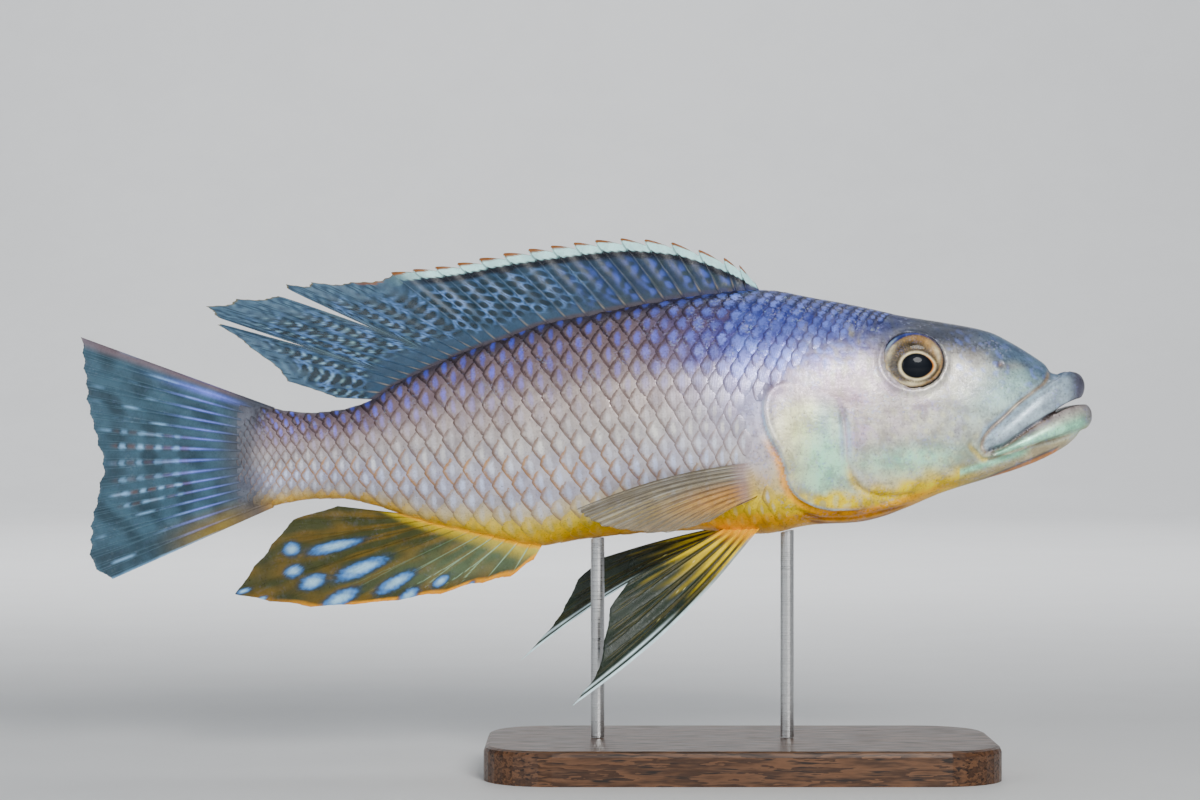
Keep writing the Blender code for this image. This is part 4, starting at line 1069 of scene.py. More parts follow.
def coat(name, side, roots, seed):
    """All scales of one piece: each plate is laid on the skin and given its colours and its place on the UV map."""
    rng = np.random.default_rng(seed)
    a, b, width, from_edge, plate_faces, loop = plate_shape()
    if side > 0:
        plate_faces = [f[::-1] for f in plate_faces]
    own = list(range(a.size)) + loop  # the grid point that each point of the plate copies its colours from
    on_plate = np.stack([from_edge.ravel(), a.ravel(), b.ravel()], -1)[own]
    stations, heights = np.array(roots)[:, 0], np.array(roots)[:, 2]
    root_colours = markings(stations + 1, heights)
    ups = (heights - belly(stations)) / (back(stations) - belly(stations))
    points, faces, marks, rims, glows, extra, uvs = [], [], [], [], [], [], []
    for root, colour, up in zip(roots, root_colours, ups):
        faces += [tuple(len(points) + v for v in f) for f in plate_faces]
        tilt, size = rng.normal(0, 0.035), rng.normal(1, 0.025)
        points += lay_plate(root, side, a, b, width, loop, tilt, size)
        rim_colour, glow_colour, same = scale_look(root[0], up, rng)
        for rows, value in ((marks, colour), (rims, rim_colour), (glows, glow_colour)):
            rows.append(np.tile(np.clip(value, 0, 1), (len(own), 1)))
        extra.append(np.concatenate([on_plate, np.tile(same, (len(own), 1))], 1))
        corner = ((root[0] - UV_START) / UV_LENGTH, 0.5 + root[-1] / UV_GIRTH)
        uvs.append(np.array(corner) + UV_SCALE * on_plate[:, 1:] * (1, 0.5))
    obj = make_object(name, points, faces)
    mesh = obj.data
    s, _, z = measure(coordinates(mesh))
    store(mesh, "marking", 0.45 * np.concatenate(marks) + 0.55 * markings(s, z))  # partly as the skin below it
    store(mesh, "rim_colour", np.concatenate(rims))
    store(mesh, "glow_colour", np.concatenate(glows))
    for label, values in zip((*SCALE_VALUES, "pearl"), np.concatenate(extra).T):
        store(mesh, label, values)
    layer = mesh.uv_layers.new(name="OFBake")
    corner_points = np.empty(len(mesh.loops), np.int32)
    mesh.loops.foreach_get("vertex_index", corner_points)
    layer.data.foreach_set("uv", np.concatenate(uvs).astype(np.float32)[corner_points].ravel())
    mesh.materials.append(SCALE_MATERIAL)
    triangles = sum(p.loop_total - 2 for p in mesh.polygons)
    print(name, len(roots), "scales,", triangles, "triangles")
    return dress(obj, "skin")


for side_name, side in SIDES:
    coat(f"scales_{side_name}_front", side, [r for r in scale_roots if r[0] < REAR_COAT], 40 + side)
    coat(f"scales_{side_name}_rear", side, [r for r in scale_roots if r[0] >= REAR_COAT], 50 + side)

# %% [markdown]
# ## Fins
# A fin is a fan of rays joined by a thin web. Rods with a film between them would work too, but they leave gaps
# where they meet. So each fin is one closed sheet on a grid: columns run along the rays, rows across them. The sheet
# is thin between the rays and swells to a round ridge at each of them; soft rays fork twice on their way out, spines
# do not. The free edge is drawn by saying how much of each column is there.

# %% A closed sheet
COLUMNS, ROWS = 22, 66  # columns from one ray to the next, and rows from the root to the free edge
# half the thickness of the web and of the fin's root, and how deep the root is set into the body
WEB_HALF, ROOT_HALF, ROOT_DEPTH = 0.1, 0.75, 1.4


def unit(v):
    return v / np.linalg.norm(v, axis=-1, keepdims=True)


def table_of(points, span):
    """Gives the point at a ray's number, also between rays, through points spread evenly over the span."""
    numbers = np.linspace(0, span, len(points))
    parts = [curve_through(list(zip(numbers, values))) for values in zip(*points)]
    return lambda at: np.stack([part(at) for part in parts], -1)


def sheet(name, middle, half, normal):
    """A closed sheet about a grid of middle points, as thick on each side as `half` says."""
    points = np.concatenate([(middle + k * normal * half[..., None]).reshape(-1, 3) for k in (1, -1)])
    total = half.size
    grid = np.arange(total).reshape(half.shape)
    front, loop = grid_faces(grid), outline(grid.T)
    rim = [(a, a + total, b + total, b) for a, b in zip(loop, loop[1:] + loop[:1])]
    faces = front[:, ::-1].tolist() + (front + total).tolist() + rim
    return make_object(name, place(points), faces)


# %% A fin with rays


def ray_fin(name, slot, root, tip, rays, edge, paint, bow=(0, 0), spines=0, thick=(0.42, 0.2), see=0.95,
            flesh=(3.2, ROOT_HALF), tint_reach=1.2):
    """Builds, paints and dresses one fin. The first `spines` rays are stiff and do not fork.

    `bow` is how far the first and the last ray bend, and `thick` a ray's radius at its root and its tip. `see`
    is how opaque the web is, `flesh` the reach and half the thickness of the root, and `tint_reach` how far the
    colours of the skin run out onto the fin.
    """
    at, v = np.meshgrid(np.linspace(0, rays - 1, (rays - 1) * COLUMNS + 1), np.linspace(0, 1, ROWS), indexing="ij")
    start, end = root(at), tip(at)
    length = np.linalg.norm(end - start, axis=-1)
    along = unit(end - start)
    start = start - along * ROOT_DEPTH
    whole = edge(at, length)
    share = v * whole
    sideways = unit(np.stack([-along[..., 2], 0 * v, along[..., 0]], -1))
    bend = (bow[0] + (bow[1] - bow[0]) * at / (rays - 1)) * length / length.max()
    middle = start + (end - start) * share[..., None] + sideways * (bend * np.sin(math.pi * share))[..., None]
    normal = unit(np.cross((tip(at) - root(at))[0, 0], (tip(at) - root(at))[-1, 0]))
    spread = np.linalg.norm(np.gradient(start + (end - start) * v[..., None], axis=0), axis=-1) * COLUMNS
    nearest = np.round(at)
    offset, fork = at - nearest, (nearest >= spines) * (nearest > 0)
    wide, narrow = 0.2 * smooth(share, 0.3, 0.85) * fork, 0.09 * smooth(share, 0.6, 1.0) * fork
    gap = np.min([np.abs(offset + a * wide + b * narrow) for a in (-1, 1) for b in (-1, 1)], 0) * spread
    radius = np.interp(share, [0, 1], thick) * (1 - 0.35 * smooth(share, 0.35, 0.9) * fork)
    ray = np.clip(1 - (gap / np.maximum(radius, 0.17)) ** 2, 0, 1)
    half = WEB_HALF + np.sqrt(ray) * radius * 0.75 + (flesh[1] - WEB_HALF) * np.exp(-((v * length / flesh[0]) ** 2))
    free = (whole - share) * length
    half *= 0.35 + 0.65 * smooth(free, -0.1, 0.7)
    billow = 0.16 * np.sin(2 * math.pi * at) * smooth(share, 0.1, 0.6)
    billow += 0.2 * np.sin(at * 1.3 + 4 * share) * smooth(share, 0.2, 1)
    obj = sheet("fine_" + name, middle + normal * billow[..., None], half, normal)
    mesh = obj.data
    place_at = {"s": middle[..., 0].ravel(), "z": middle[..., 2].ravel(), "at": at.ravel(), "share": share.ravel(),
                "free": free.ravel(), "run": (v * length).ravel(), "ray": ray.ravel(), "along": along.reshape(-1, 3)}
    # each paint gives the colour, the strength of the painted pearly glints, and how clear the web is
    colour, pearl, clear = paint(**place_at)
    near = place_at["run"] < ROOT_DEPTH + 1.3 * tint_reach
    s, z = place_at["s"][near], place_at["z"][near]
    skin_here = markings(s, np.clip(z, belly(s), back(s)))
    outward = smooth(place_at["run"][near] - ROOT_DEPTH, 0.2 * tint_reach, 1.3 * tint_reach)
    colour[near] = blend(colour[near], skin_here, 1 - outward)
    clear = clear * smooth(place_at["run"], flesh[0], 2 * flesh[0])
    stored = {"marking": np.clip(colour, 0, 1), "pearl": pearl, "ray": place_at["ray"], "run": place_at["run"],
              "see": np.clip(see - clear * (1 - place_at["ray"]), 0, 1)}
    for label, values in stored.items():
        store(mesh, label, np.concatenate([values, values]))  # both faces of the sheet look alike
    mesh.materials.append(FIN_MATERIAL)
    print(name, len(mesh.polygons), "faces")
    return dress(obj, slot, name)


# %% Free edges


def ragged(at, seed, deep):
    """A hanging back between 0 and deep millimetres that differs from ray to ray."""
    ends = deep * np.random.default_rng(seed).uniform(0, 1, 64)
    return np.interp(at * 2, np.arange(64), ends)


def straight_edge(at, length, sag=0.5, deep=0.5, seed=61):
    """The web hangs back a little between the rays, and no two rays end quite alike."""
    between = np.sin(math.pi * (at % 1)) ** 1.5
    return 1 - (sag * between + 0.15 * np.sin(math.pi * (at * 4 % 1)) + ragged(at, seed, deep)) / length


def frayed_edge(at, length):
    return straight_edge(at, length, 1.1, 1.0, 62)


# %% [markdown]
# ## Dorsal fin
# The long fin of the back has stiff spines in front and soft, branching rays behind, where it runs out into a point.
# Behind each spine's tip hangs a white lobe over a dark band. The rays could all be evenly spread, but each spine of
# a real fin has its own lean, so every root and tip is in the table. The spots follow the rays by their numbers.

# %% Measures and colours of the dorsal fin
SOFT, SOFT_LAST = 11, 213.0  # number of soft rays, and the station of the last one's root
# each spine: station of its root, then station and height of its tip
SPINE_TABLE = [(98.5, 100.5, 146.5), (102, 104.5, 150.2), (105.5, 109.1, 152.2), (110, 116.7, 154.6),
               (115.2, 124.8, 156.8), (120.7, 132.7, 157.5), (126.2, 139.8, 157.8), (131.8, 147.3, 157.2),
               (137.4, 153.6, 156.4), (143.5, 160.4, 155.5), (149.3, 167, 154.5), (155.1, 174.5, 153.2),
               (160.9, 181.6, 151.7), (166, 188, 150.3), (171.4, 194.5, 149.2), (175.8, 201, 148.5),
               (179.9, 207.5, 147.6)]
SPINES = len(SPINE_TABLE)
# soft rays: station and height of each tip, and after which rays the web is cleft, with the share that is left there
SOFT_TIPS = [(220, 145.3), (231, 144.9), (239, 144.5), (243, 140.6), (253.5, 140), (263.4, 138.1), (259.5, 135.2),
             (258.9, 132.3), (249, 125.5), (239, 115.6), (224, 110.6)]
CLEFTS = {3: 0.52, 7: 0.58}
# how far the edge drops behind a spine's tip, and how far below the line of the tips the white lobes reach
LAPPET_DROP, LOBE_DEPTH = 2.6, 4.7
SLATE, STREAK, CYAN_WHITE = (0.02, 0.04, 0.075), (0.06, 0.11, 0.5), (0.55, 0.97, 0.95)
RIM_ORANGE, BLACK, OLIVE = (0.26, 0.09, 0.02), (0.005, 0.007, 0.013), (0.2, 0.17, 0.06)
WEB_GREY, RAY_BROWN, RAY_PALE = (0.03, 0.05, 0.055), (0.33, 0.28, 0.2), (0.16, 0.3, 0.42)
WEB_BLUE, DOT, NETWORK = (0.032, 0.075, 0.13), (0.01, 0.024, 0.034), (0.13, 0.28, 0.62)

spine_roots, spine_tips = np.array(SPINE_TABLE)[:, 0], np.array(SPINE_TABLE)[:, 1:]
dorsal_roots = np.concatenate([spine_roots, np.linspace(spine_roots[-1], SOFT_LAST, SOFT + 1)[1:]])
dorsal_tips = np.concatenate([spine_tips, np.array(SOFT_TIPS)])
dorsal_numbers = np.arange(SPINES + SOFT)
print("spines", SPINES, "soft rays", SOFT)

# %% Root, tips and edge of the dorsal fin


def dorsal_root(at):
    s = curve_through(list(zip(dorsal_numbers, dorsal_roots)))(at)
    return np.stack([s, 0 * s, back(s)], -1)


def dorsal_tip(at):
    s, z = (np.interp(at, dorsal_numbers, dorsal_tips[:, k]) for k in (0, 1))
    return np.stack([s, 0 * s, z], -1)


def lappet_drop(at):
    """How far the edge hangs below the line of the spines' tips: a leaf-shaped lobe at the front of each spine."""
    step = at % 1
    leaf = LAPPET_DROP * np.clip(1 - step, 0, 1) ** 1.9 * (0.25 + 0.75 * smooth(step, 0.0, 0.06))
    leaf += 0.6 * smooth(step, 0.85, 1.0) ** 2
    return leaf * (at < SPINES - 1) * (1 - 0.55 * smooth(at, 12, 16))


def dorsal_edge(at, length):
    step = at % 1
    lappet = lappet_drop(at)
    soft = 1.5 * np.sin(math.pi * step) ** 1.5 + 0.5 * np.sin(math.pi * (at * 4 % 1)) + ragged(at, 63, 1.6)
    soft *= at >= SPINES - 1
    whole = 1 - (lappet + soft) / length
    for number, left in CLEFTS.items():
        notch = np.clip(1 - np.abs(at - (SPINES + number - 0.5)) / 0.3, 0, 1)
        whole -= (1 - left) * notch**1.2
    return whole


# %% Painting the dorsal fin


def dorsal_paint(s, z, at, share, free, run, ray, **rest):
    patch, fine = ripple(s, z, 6, 11), ripple(at * 6, run, 2.6, 12)
    soft, step = smooth(at, SPINES - 3, SPINES + 1), at % 1
    # violet blue flames behind each spine in front
    flame = bump(step - 0.3, 0.25) * smooth(run, 2, 5) * (1 - smooth(share, 0.6, 0.78))
    flame = flame * smooth(fine + 0.3, -0.3, 0.9) * (1 - 0.85 * smooth(at, 8, 13))
    # dark rounded spots, two columns to each spiny web and one to each soft web, with a fine pale network between
    column = np.where(at < SPINES - 1, 2 * at, at + SPINES - 1)
    row, side_step = (run / 3.4 + 0.5 * (np.floor(column) % 2)) % 1 - 0.5, column % 1 - 0.5
    spot = np.hypot(side_step / 0.4, row / 0.4) + 0.12 * fine
    inner = smooth(share, 0.14, 0.25) * (1 - smooth(share, 0.66, 0.85)) * smooth(at, 7, 12)
    dash = bump(np.abs(row) - 0.5, 0.16) * bump(side_step, 0.42) * smooth(at, SPINES - 1, SPINES + 3)
    # the edge of the spiny part: a dark band, white lobes with toothed lower edges, and rusty caps
    wave, spiny = free + lappet_drop(at), 1 - smooth(at, 14.5, 16.5)
    teeth = 0.8 * np.abs((step * 3) % 1 - 0.5) + 0.4 * smooth(at, 8, 15)
    white = spiny * smooth(LOBE_DEPTH - teeth - wave - 0.8 * smooth(step, 0.85, 1.0), 0, 0.35)
    cap = (0.9 + 0.4 * smooth(at, 5, 11)) * smooth(step, 0.15, 0.7) * (at > 0.5)
    colour = layered(SLATE,
        (WEB_GREY, 0.8 * smooth(patch + 0.5 * fine, -0.1, 0.8) * (1 - soft)),
        (STREAK, 0.75 * flame),
        (WEB_BLUE, 0.9 * smooth(at, 7, 12)),
        (DOT, 0.9 * (1 - smooth(spot, 0.85, 1.1)) * inner),
        (NETWORK, inner * bump(spot - 1.25, 0.2) * smooth(patch + 0.5 * fine, -0.5, 0.9)),
        (CYAN_WHITE, 0.4 * inner * dash * smooth(fine, -0.3, 0.8)),
        (RAY_BROWN, 0.6 * ray * (1 - smooth(run, 2.5, 7))),
        (RAY_PALE, soft * smooth(share, 0.6, 0.9) * (0.3 + 0.3 * fine) * (1 - ray)),
        (DOT, 0.7 * ray * soft * smooth(share, 0.5, 0.75)),
        (BLACK, 0.95 * spiny * smooth(LOBE_DEPTH + 2.6 - wave + 0.6 * patch, 0, 1.6)),
        (CYAN_WHITE, white),
        (BLACK, 0.8 * white * bump(step - 0.02, 0.035) * smooth(free, 0.4, 0.9)),
        (RIM_ORANGE, (1 - smooth(at, 16, 18)) * smooth(cap - free, -0.12, 0.12)),
        (OLIVE, soft * smooth(0.5 - free, 0, 0.3)))
    return colour, 0.06 + 0.1 * flame, 0.04 + 0.05 * soft


ray_fin("dorsal_fin", "dorsal_fin", dorsal_root, dorsal_tip, SPINES + SOFT, dorsal_edge, dorsal_paint, spines=SPINES)

# %% [markdown]
# ## Tail fin and anal fin
# The tail fin spreads from a scaly base, dark with violet-blue streaks and dots that follow its rays. The anal fin
# below it carries egg-like spots with dark rims. Both could be cut from one flat sheet, but as fans of rays they
# ripple in the light as real fins do. The spots lie along the rays, so each is measured along and across its ray.

# %% Tail fin
CAUDAL_RAYS = 17
# from the top ray (0) to the lowest (1): station and height
CAUDAL_ROOT = [(0, 243, 108.2), (0.5, 245.5, 92.8), (1, 243, 77.6)]
CAUDAL_TIPS = [(0, 299, 128.6), (0.07, 298.6, 123.4), (0.25, 297.3, 110.2), (0.42, 294.4, 98), (0.5, 292.5, 91),
               (0.58, 293.6, 84), (0.72, 295.9, 74.5), (0.85, 296.4, 66), (0.95, 294, 59), (1, 289.5, 56.9)]
CAUDAL_SLATE, CAUDAL_STREAK, CAUDAL_LOW = (0.045, 0.105, 0.15), (0.2, 0.27, 1.0), (0.3, 0.2, 0.02)
RED_BROWN, PALE_BLUE = (0.2, 0.08, 0.05), (0.3, 0.6, 0.95)
CAUDAL_DARK, CAUDAL_RAY = (0.015, 0.035, 0.05), (0.07, 0.13, 0.17)


def from_shares(table, last):
    """Gives the point at a ray's number from rows of share, station and height, on the fish's middle plane."""
    parts = [curve_through([(p[0] * last, p[k]) for p in table]) for k in (1, 2)]

    def point(at):
        s, z = (part(at) for part in parts)
        return np.stack([s, 0 * s, z], -1)

    return point


def caudal_paint(s, z, at, share, run, ray, **rest):
    number = np.round(at)
    low, step = smooth(at, CAUDAL_RAYS * 0.75, CAUDAL_RAYS - 1), np.abs(at - number)
    patch, long_patch = ripple(s, z, 8, 21), ripple(number * 9, run * 0.35, 6, 22)
    on_ray, beat = bump(step, 0.1), np.cos(2 * math.pi * run / 5.2)
    rows = bump(np.abs(number - 8.5) - 1.5, 1.2) * bump(step, 0.16) * smooth(run, 20, 24) * (1 - smooth(run, 42, 46))
    colour = layered(CAUDAL_SLATE,
        (CAUDAL_DARK, 0.7 * smooth(patch + 0.6 * low, -0.5, 0.8)),
        (CAUDAL_RAY, 0.55 * smooth(ray, 0.2, 0.8)),
        (CAUDAL_STREAK, 0.95 * on_ray * bump(run - 20 - 1.5 * np.sin(number), 7) * (1 - 0.5 * low)),
        (PALE_BLUE, 0.7 * on_ray * smooth(long_patch, 0.2, 0.8) * smooth(run, 20, 28) * (1 - smooth(share, 0.85, 1))),
        (RED_BROWN, 0.5 * rows * smooth(-beat, -0.1, 0.4)),
        (PALE_BLUE, 0.9 * rows * smooth(beat, 0.35, 0.75)),
        (CAUDAL_LOW, 0.85 * low * (1 - smooth(run, 14, 40))),
        (CAUDAL_STREAK, 0.8 * bump(at - 1.0, 0.35) * bump(run - 18, 12)),
        (BACK_BROWN, 0.7 * (1 - smooth(at, 0.2, 0.8))),
        (PALE_BLUE, 0.5 * smooth(at, CAUDAL_RAYS - 1.2, CAUDAL_RAYS - 1) * smooth(run, 14, 24)))
    return colour, 0.1 + 0.2 * ray, 0.07 * smooth(share, 0.3, 1)


caudal_root, caudal_tip = (from_shares(table, CAUDAL_RAYS - 1) for table in (CAUDAL_ROOT, CAUDAL_TIPS))
ray_fin("caudal_fin", "caudal_fin", caudal_root, caudal_tip, CAUDAL_RAYS, straight_edge, caudal_paint,
        flesh=(10, 1.3), tint_reach=13)

# %% Anal fin
ANAL_START, ANAL_END = 162.5, 205.5
# each ray's tip: station, 0 for the middle plane, height
ANAL_TIPS = [(165.3, 0, 62), (172.3, 0, 56.9), (180.5, 0, 55.2), (192.8, 0, 52.2), (205.7, 0, 50.2), (219, 0, 49),
             (231, 0, 48.6), (243, 0, 50.3), (253.8, 0, 52.4), (248.4, 0, 60.6), (243.3, 0, 67.1), (236.4, 0, 74.6),
             (223, 0, 78.6)]
# egg-like spots of the anal fin: station, height, length and width
EGG_SPOTS = [(223.4, 66.7, 17.1, 3.3), (215.7, 60.2, 17.1, 4.4), (205.6, 56.1, 13.3, 3.8), (236.4, 65.8, 5, 4.4),
             (235.8, 59.3, 5.6, 3.8), (230.2, 56.1, 8.3, 4.4), (221.9, 51.3, 12.1, 4.4), (201.8, 52.2, 7.1, 3.3),
             (192.3, 56.4, 5.9, 2.7), (183.8, 54.9, 4.4, 1.5), (250.6, 53.4, 4.5, 1.6), (245.5, 51.0, 4, 1.4)]
ANAL_OLIVE, ANAL_BROWN, ANAL_RAY = (0.045, 0.05, 0.012), (0.15, 0.09, 0.008), (0.34, 0.56, 0.36)
EGG, EGG_RIM, EGG_HEART = (0.05, 0.19, 0.5), (0.02, 0.045, 0.07), (0.38, 0.68, 0.85)


def anal_root(at):
    s = ANAL_START + (ANAL_END - ANAL_START) * at / (len(ANAL_TIPS) - 1)
    return np.stack([s, 0 * s, belly(s)], -1)


def anal_paint(s, z, at, share, free, run, ray, along):
    patch, front = ripple(at * 7, run * 0.4, 6, 31), 1 - smooth(at, 3, 8)
    colour = layered(ANAL_OLIVE,
        (ANAL_BROWN, 0.8 * smooth(patch + 0.4 * np.cos(2 * math.pi * at), -0.6, 0.9)),
        (YELLOW, 0.6 * (1 - smooth(run, 2, 8))),
        (ANAL_RAY, (0.15 + 0.75 * ray) * front * (1 - smooth(share, 0.55, 0.9))),
        (ORANGE, 0.85 * smooth(2.6 - free, 0, 1.6) * (1 - smooth(at, 5, 8))),
        (ANAL_OLIVE, 0.5 * ray * (1 - front)))
    uneven = ripple(s, z, 2, 33)
    for spot_s, spot_z, long, wide in EGG_SPOTS:
        ds, dz = s - spot_s, z - spot_z
        lengthways = (ds * along[:, 0] + dz * along[:, 2]) / (long / 2)
        crossways = (ds * along[:, 2] - dz * along[:, 0]) / (wide / 2)
        reach = np.hypot(lengthways, crossways) + 0.12 * uneven
        colour = layered(colour,
            (EGG_RIM, 0.7 * (1 - smooth(reach, 1.0, 1.4))),
            (EGG, 1 - smooth(reach, 0.75, 1.05)),
            (EGG_HEART, 0.95 * (1 - smooth(reach, 0.15, 0.85))))
    return colour, 0.15 + 0.3 * ray * front, 0.06 * smooth(share, 0.2, 1)


ray_fin("anal_fin", "anal_fin", anal_root, table_of(ANAL_TIPS, len(ANAL_TIPS) - 1), len(ANAL_TIPS), frayed_edge,
        anal_paint, spines=3)

# %% [markdown]
# ## Paired fins
# The pelvic fins hang under the chest, each with a pale stiff front edge, and the pectoral fins stand off the flanks
# behind the gill covers. One pair could be mirrored from one side, but the two pelvic fins of a swimming fish are
# seldom held alike, so each side has its own tips. The pectoral fin's root is found on the skin by casting a ray.

# %% Measures and colours of the paired fins
PELVIC_STATION, PELVIC_ROOT_LENGTH, PELVIC_OUT = 99.4, 9.0, 7.0
# by side (-1 is the right): station, height and distance to the side
PELVIC_TIPS = {-1: [(153.6, 21, 19.2), (150.5, 24.9, 18.4), (146.4, 30.6, 17), (144.6, 39.6, 15.5),
                    (142.5, 49.1, 13.5), (137, 57.1, 11)],
               1: [(169.6, 31, 20.2), (163.2, 38.1, 18.6), (159, 43.1, 17), (156.2, 48.1, 15.5), (152, 56.1, 13.5),
                   (145, 62.6, 10.5)]}
PELVIC_BOW = {-1: (-3.2, 0), 1: (4.2, 1.4)}  # by side: how far the first and the last ray bend
PECTORAL_RAYS, PECTORAL_BOW = 11, 2.4
# from the upper ray (0) to the lowest (1): station, height and, for the tips, distance to the side
PECTORAL_ROOT = [(0, 99.5, 91.6), (1, 98, 82)]
PECTORAL_TIPS = [(0, 152.2, 78.2, 23.5), (0.25, 149.5, 75.8, 24), (0.5, 141, 72.4, 24), (0.75, 129, 71.4, 23),
                 (1, 114, 74.2, 20.5)]
PELVIC_WEB, PELVIC_EDGE, PELVIC_RAY = (0.014, 0.026, 0.014), (0.75, 0.95, 1.0), (0.075, 0.06, 0.01)
PECTORAL_WEB, PECTORAL_RAY, PECTORAL_PALE = (0.3, 0.26, 0.18), (0.06, 0.05, 0.04), (0.55, 0.54, 0.47)

# %% Painting the paired fins


def pelvic_paint(s, z, at, share, run, ray, **rest):
    patch, outer = ripple(at * 9, run * 0.35, 6, 41), smooth(share, 0.2, 0.45)
    between = smooth(0.5 - 0.5 * np.cos(2 * math.pi * at), 0.1, 0.8) * smooth(at, 0.2, 0.5)
    colour = layered(PELVIC_WEB,
        (PELVIC_RAY, 0.75 * smooth(ray + 0.3 * patch, 0.1, 0.9)),
        (YELLOW, 0.9 * (1 - smooth(run - 6 * patch, 6, 30)) * between),
        (ORANGE, 0.6 * (1 - smooth(run, 2, 9))),
        (PALE_YELLOW, 0.7 * smooth(ripple(s * 3, z * 3, 4, 42), 1.15, 1.35) * bump(share - 0.45, 0.2)),
        (PELVIC_EDGE, (0.35 + 0.65 * outer) * (1 - smooth(at, 0.3, 0.5))),
        (PELVIC_EDGE, outer * smooth(share, 0.45, 0.65) * bump(at - 1, 0.2)))
    return colour, 0.1 + 0 * s, 0.06 * smooth(share, 0.2, 0.9)


def pectoral_paint(s, at, share, run, ray, **rest):
    upper = 1 - smooth(at, 3, 7)
    colour = layered(PECTORAL_WEB,
        (ORANGE, 0.55 * (1 - upper) * (1 - smooth(share, 0.4, 0.9))),
        (PECTORAL_PALE, 0.7 * upper * smooth(ripple(at * 9, run * 0.3, 5, 51), 0, 0.8)),
        (PECTORAL_RAY, 0.8 * ray * smooth(run, 4, 9)),
        (ROSE, 0.8 * (1 - smooth(run, 5, 11))))
    return colour, 0.15 + 0 * s, 0.5 * smooth(share, 0.06, 0.4)


def skin_out(s, z, side):
    hit = skin_tree.ray_cast(Vector(place((s, side * 60, z))), Vector((0, -side, 0)))[0]
    return abs(hit.y) / MM


# %% Building the paired fins
for side_name, side in SIDES:
    def pelvic_root(at):
        s = PELVIC_STATION + PELVIC_ROOT_LENGTH * at / 5
        return np.stack([s, side * (PELVIC_OUT - 0.5 * at), belly(s) + 1.5], -1)

    ray_fin("pelvic_fin_" + side_name, "pelvic_fin", pelvic_root,
            table_of([(s, side * y, z) for s, z, y in PELVIC_TIPS[side]], 5), 6, straight_edge, pelvic_paint,
            PELVIC_BOW[side], spines=1, thick=(0.7, 0.26), tint_reach=3)
    last = PECTORAL_RAYS - 1
    roots = []
    for i in range(PECTORAL_RAYS):
        s, z = (float(np.interp(i / last, [0, 1], [p[k] for p in PECTORAL_ROOT])) for k in (1, 2))
        roots.append((s, side * (skin_out(s, z, side) - 0.8), z))
    tips = [curve_through([(p[0] * last, p[k]) for p in PECTORAL_TIPS])(np.arange(PECTORAL_RAYS)) for k in (1, 3, 2)]
    tips = [(s, side * y, z) for s, y, z in zip(*tips)]
    ray_fin("pectoral_fin_" + side_name, "pectoral_fin", table_of(roots, last), table_of(tips, last), PECTORAL_RAYS,
            straight_edge, pectoral_paint, (PECTORAL_BOW, PECTORAL_BOW), spines=1, thick=(0.34, 0.16), tint_reach=4)

# %% [markdown]
# ## Eyes
# The eyeball is a flattened ball facing a little upwards. It could be a ball with a glass dome over a painted disc,
# as in a doll. At this size a low dome over the pupil and a glossy coat show the same. The colour is worked out from
# the place on the ball: a black pupil set low and forward, a cream ring about it, an olive iris with fine streaks
# and patches of cream and gold, and a dark rim that turns blue above.

# %% Measures, colours and material of the eyes
# the pupil's place, from the middle of the ball, and half its length and height
PUPIL_FORWARD, PUPIL_DOWN, PUPIL_RADII = 0.8, 2.1, (4.3, 3.5)
IRIS_GOLD, IRIS_OLIVE, IRIS_DARK = (0.75, 0.42, 0.12), (0.1, 0.085, 0.055), (0.012, 0.011, 0.008)
IRIS_CREAM, IRIS_GREY, IRIS_ORANGE = (1.0, 0.85, 0.48), (0.11, 0.1, 0.085), (0.9, 0.25, 0.0)
IRIS_BLUE, PUPIL = (0.01, 0.03, 0.22), (0.003, 0.005, 0.009)
# patches of the iris: degrees round from the front, share of the way out, their two half sizes, colour, strength
IRIS_PATCHES = [(98, 0.5, 62, 0.13, IRIS_DARK, 0.85), (50, 0.76, 60, 0.13, IRIS_GOLD, 0.7),
                (16, 0.8, 22, 0.09, IRIS_CREAM, 0.85), (158, 0.78, 22, 0.1, IRIS_CREAM, 0.95),
                (204, 0.66, 40, 0.2, IRIS_GREY, 0.9), (320, 0.72, 40, 0.15, IRIS_DARK, 0.6),
                (182, 0.9, 30, 0.06, IRIS_CREAM, 0.95), (232, 0.89, 40, 0.04, IRIS_CREAM, 0.8),
                (266, 0.82, 14, 0.08, IRIS_CREAM, 0.95), (288, 0.86, 12, 0.05, IRIS_CREAM, 0.7),
                (330, 0.9, 40, 0.03, IRIS_GOLD, 0.7), (98, 0.86, 20, 0.05, IRIS_DARK, 0.6)]

EYE_MATERIAL, g, shader, where = new_material("eye")
mottled = use(g, MOTTLE, Color=g.named("marking", True), Place=where, Size=500.0, Amount=g.named("pearl"))
pearly = use(g, PEARL_GROUP, Color=mottled["Color"], Place=where, Size=2600.0,
             Amount=g.times(g.named("pearl"), 0.3))
finish_material(g, shader, mottled["Height"], 0.02, 0.15, Base_Color=pearly["Color"], Roughness=0.5, Metallic=0.35,
                Specular_IOR_Level=0.1, Coat_Weight=0.14, Coat_Roughness=0.02)

# %% Colour of the iris


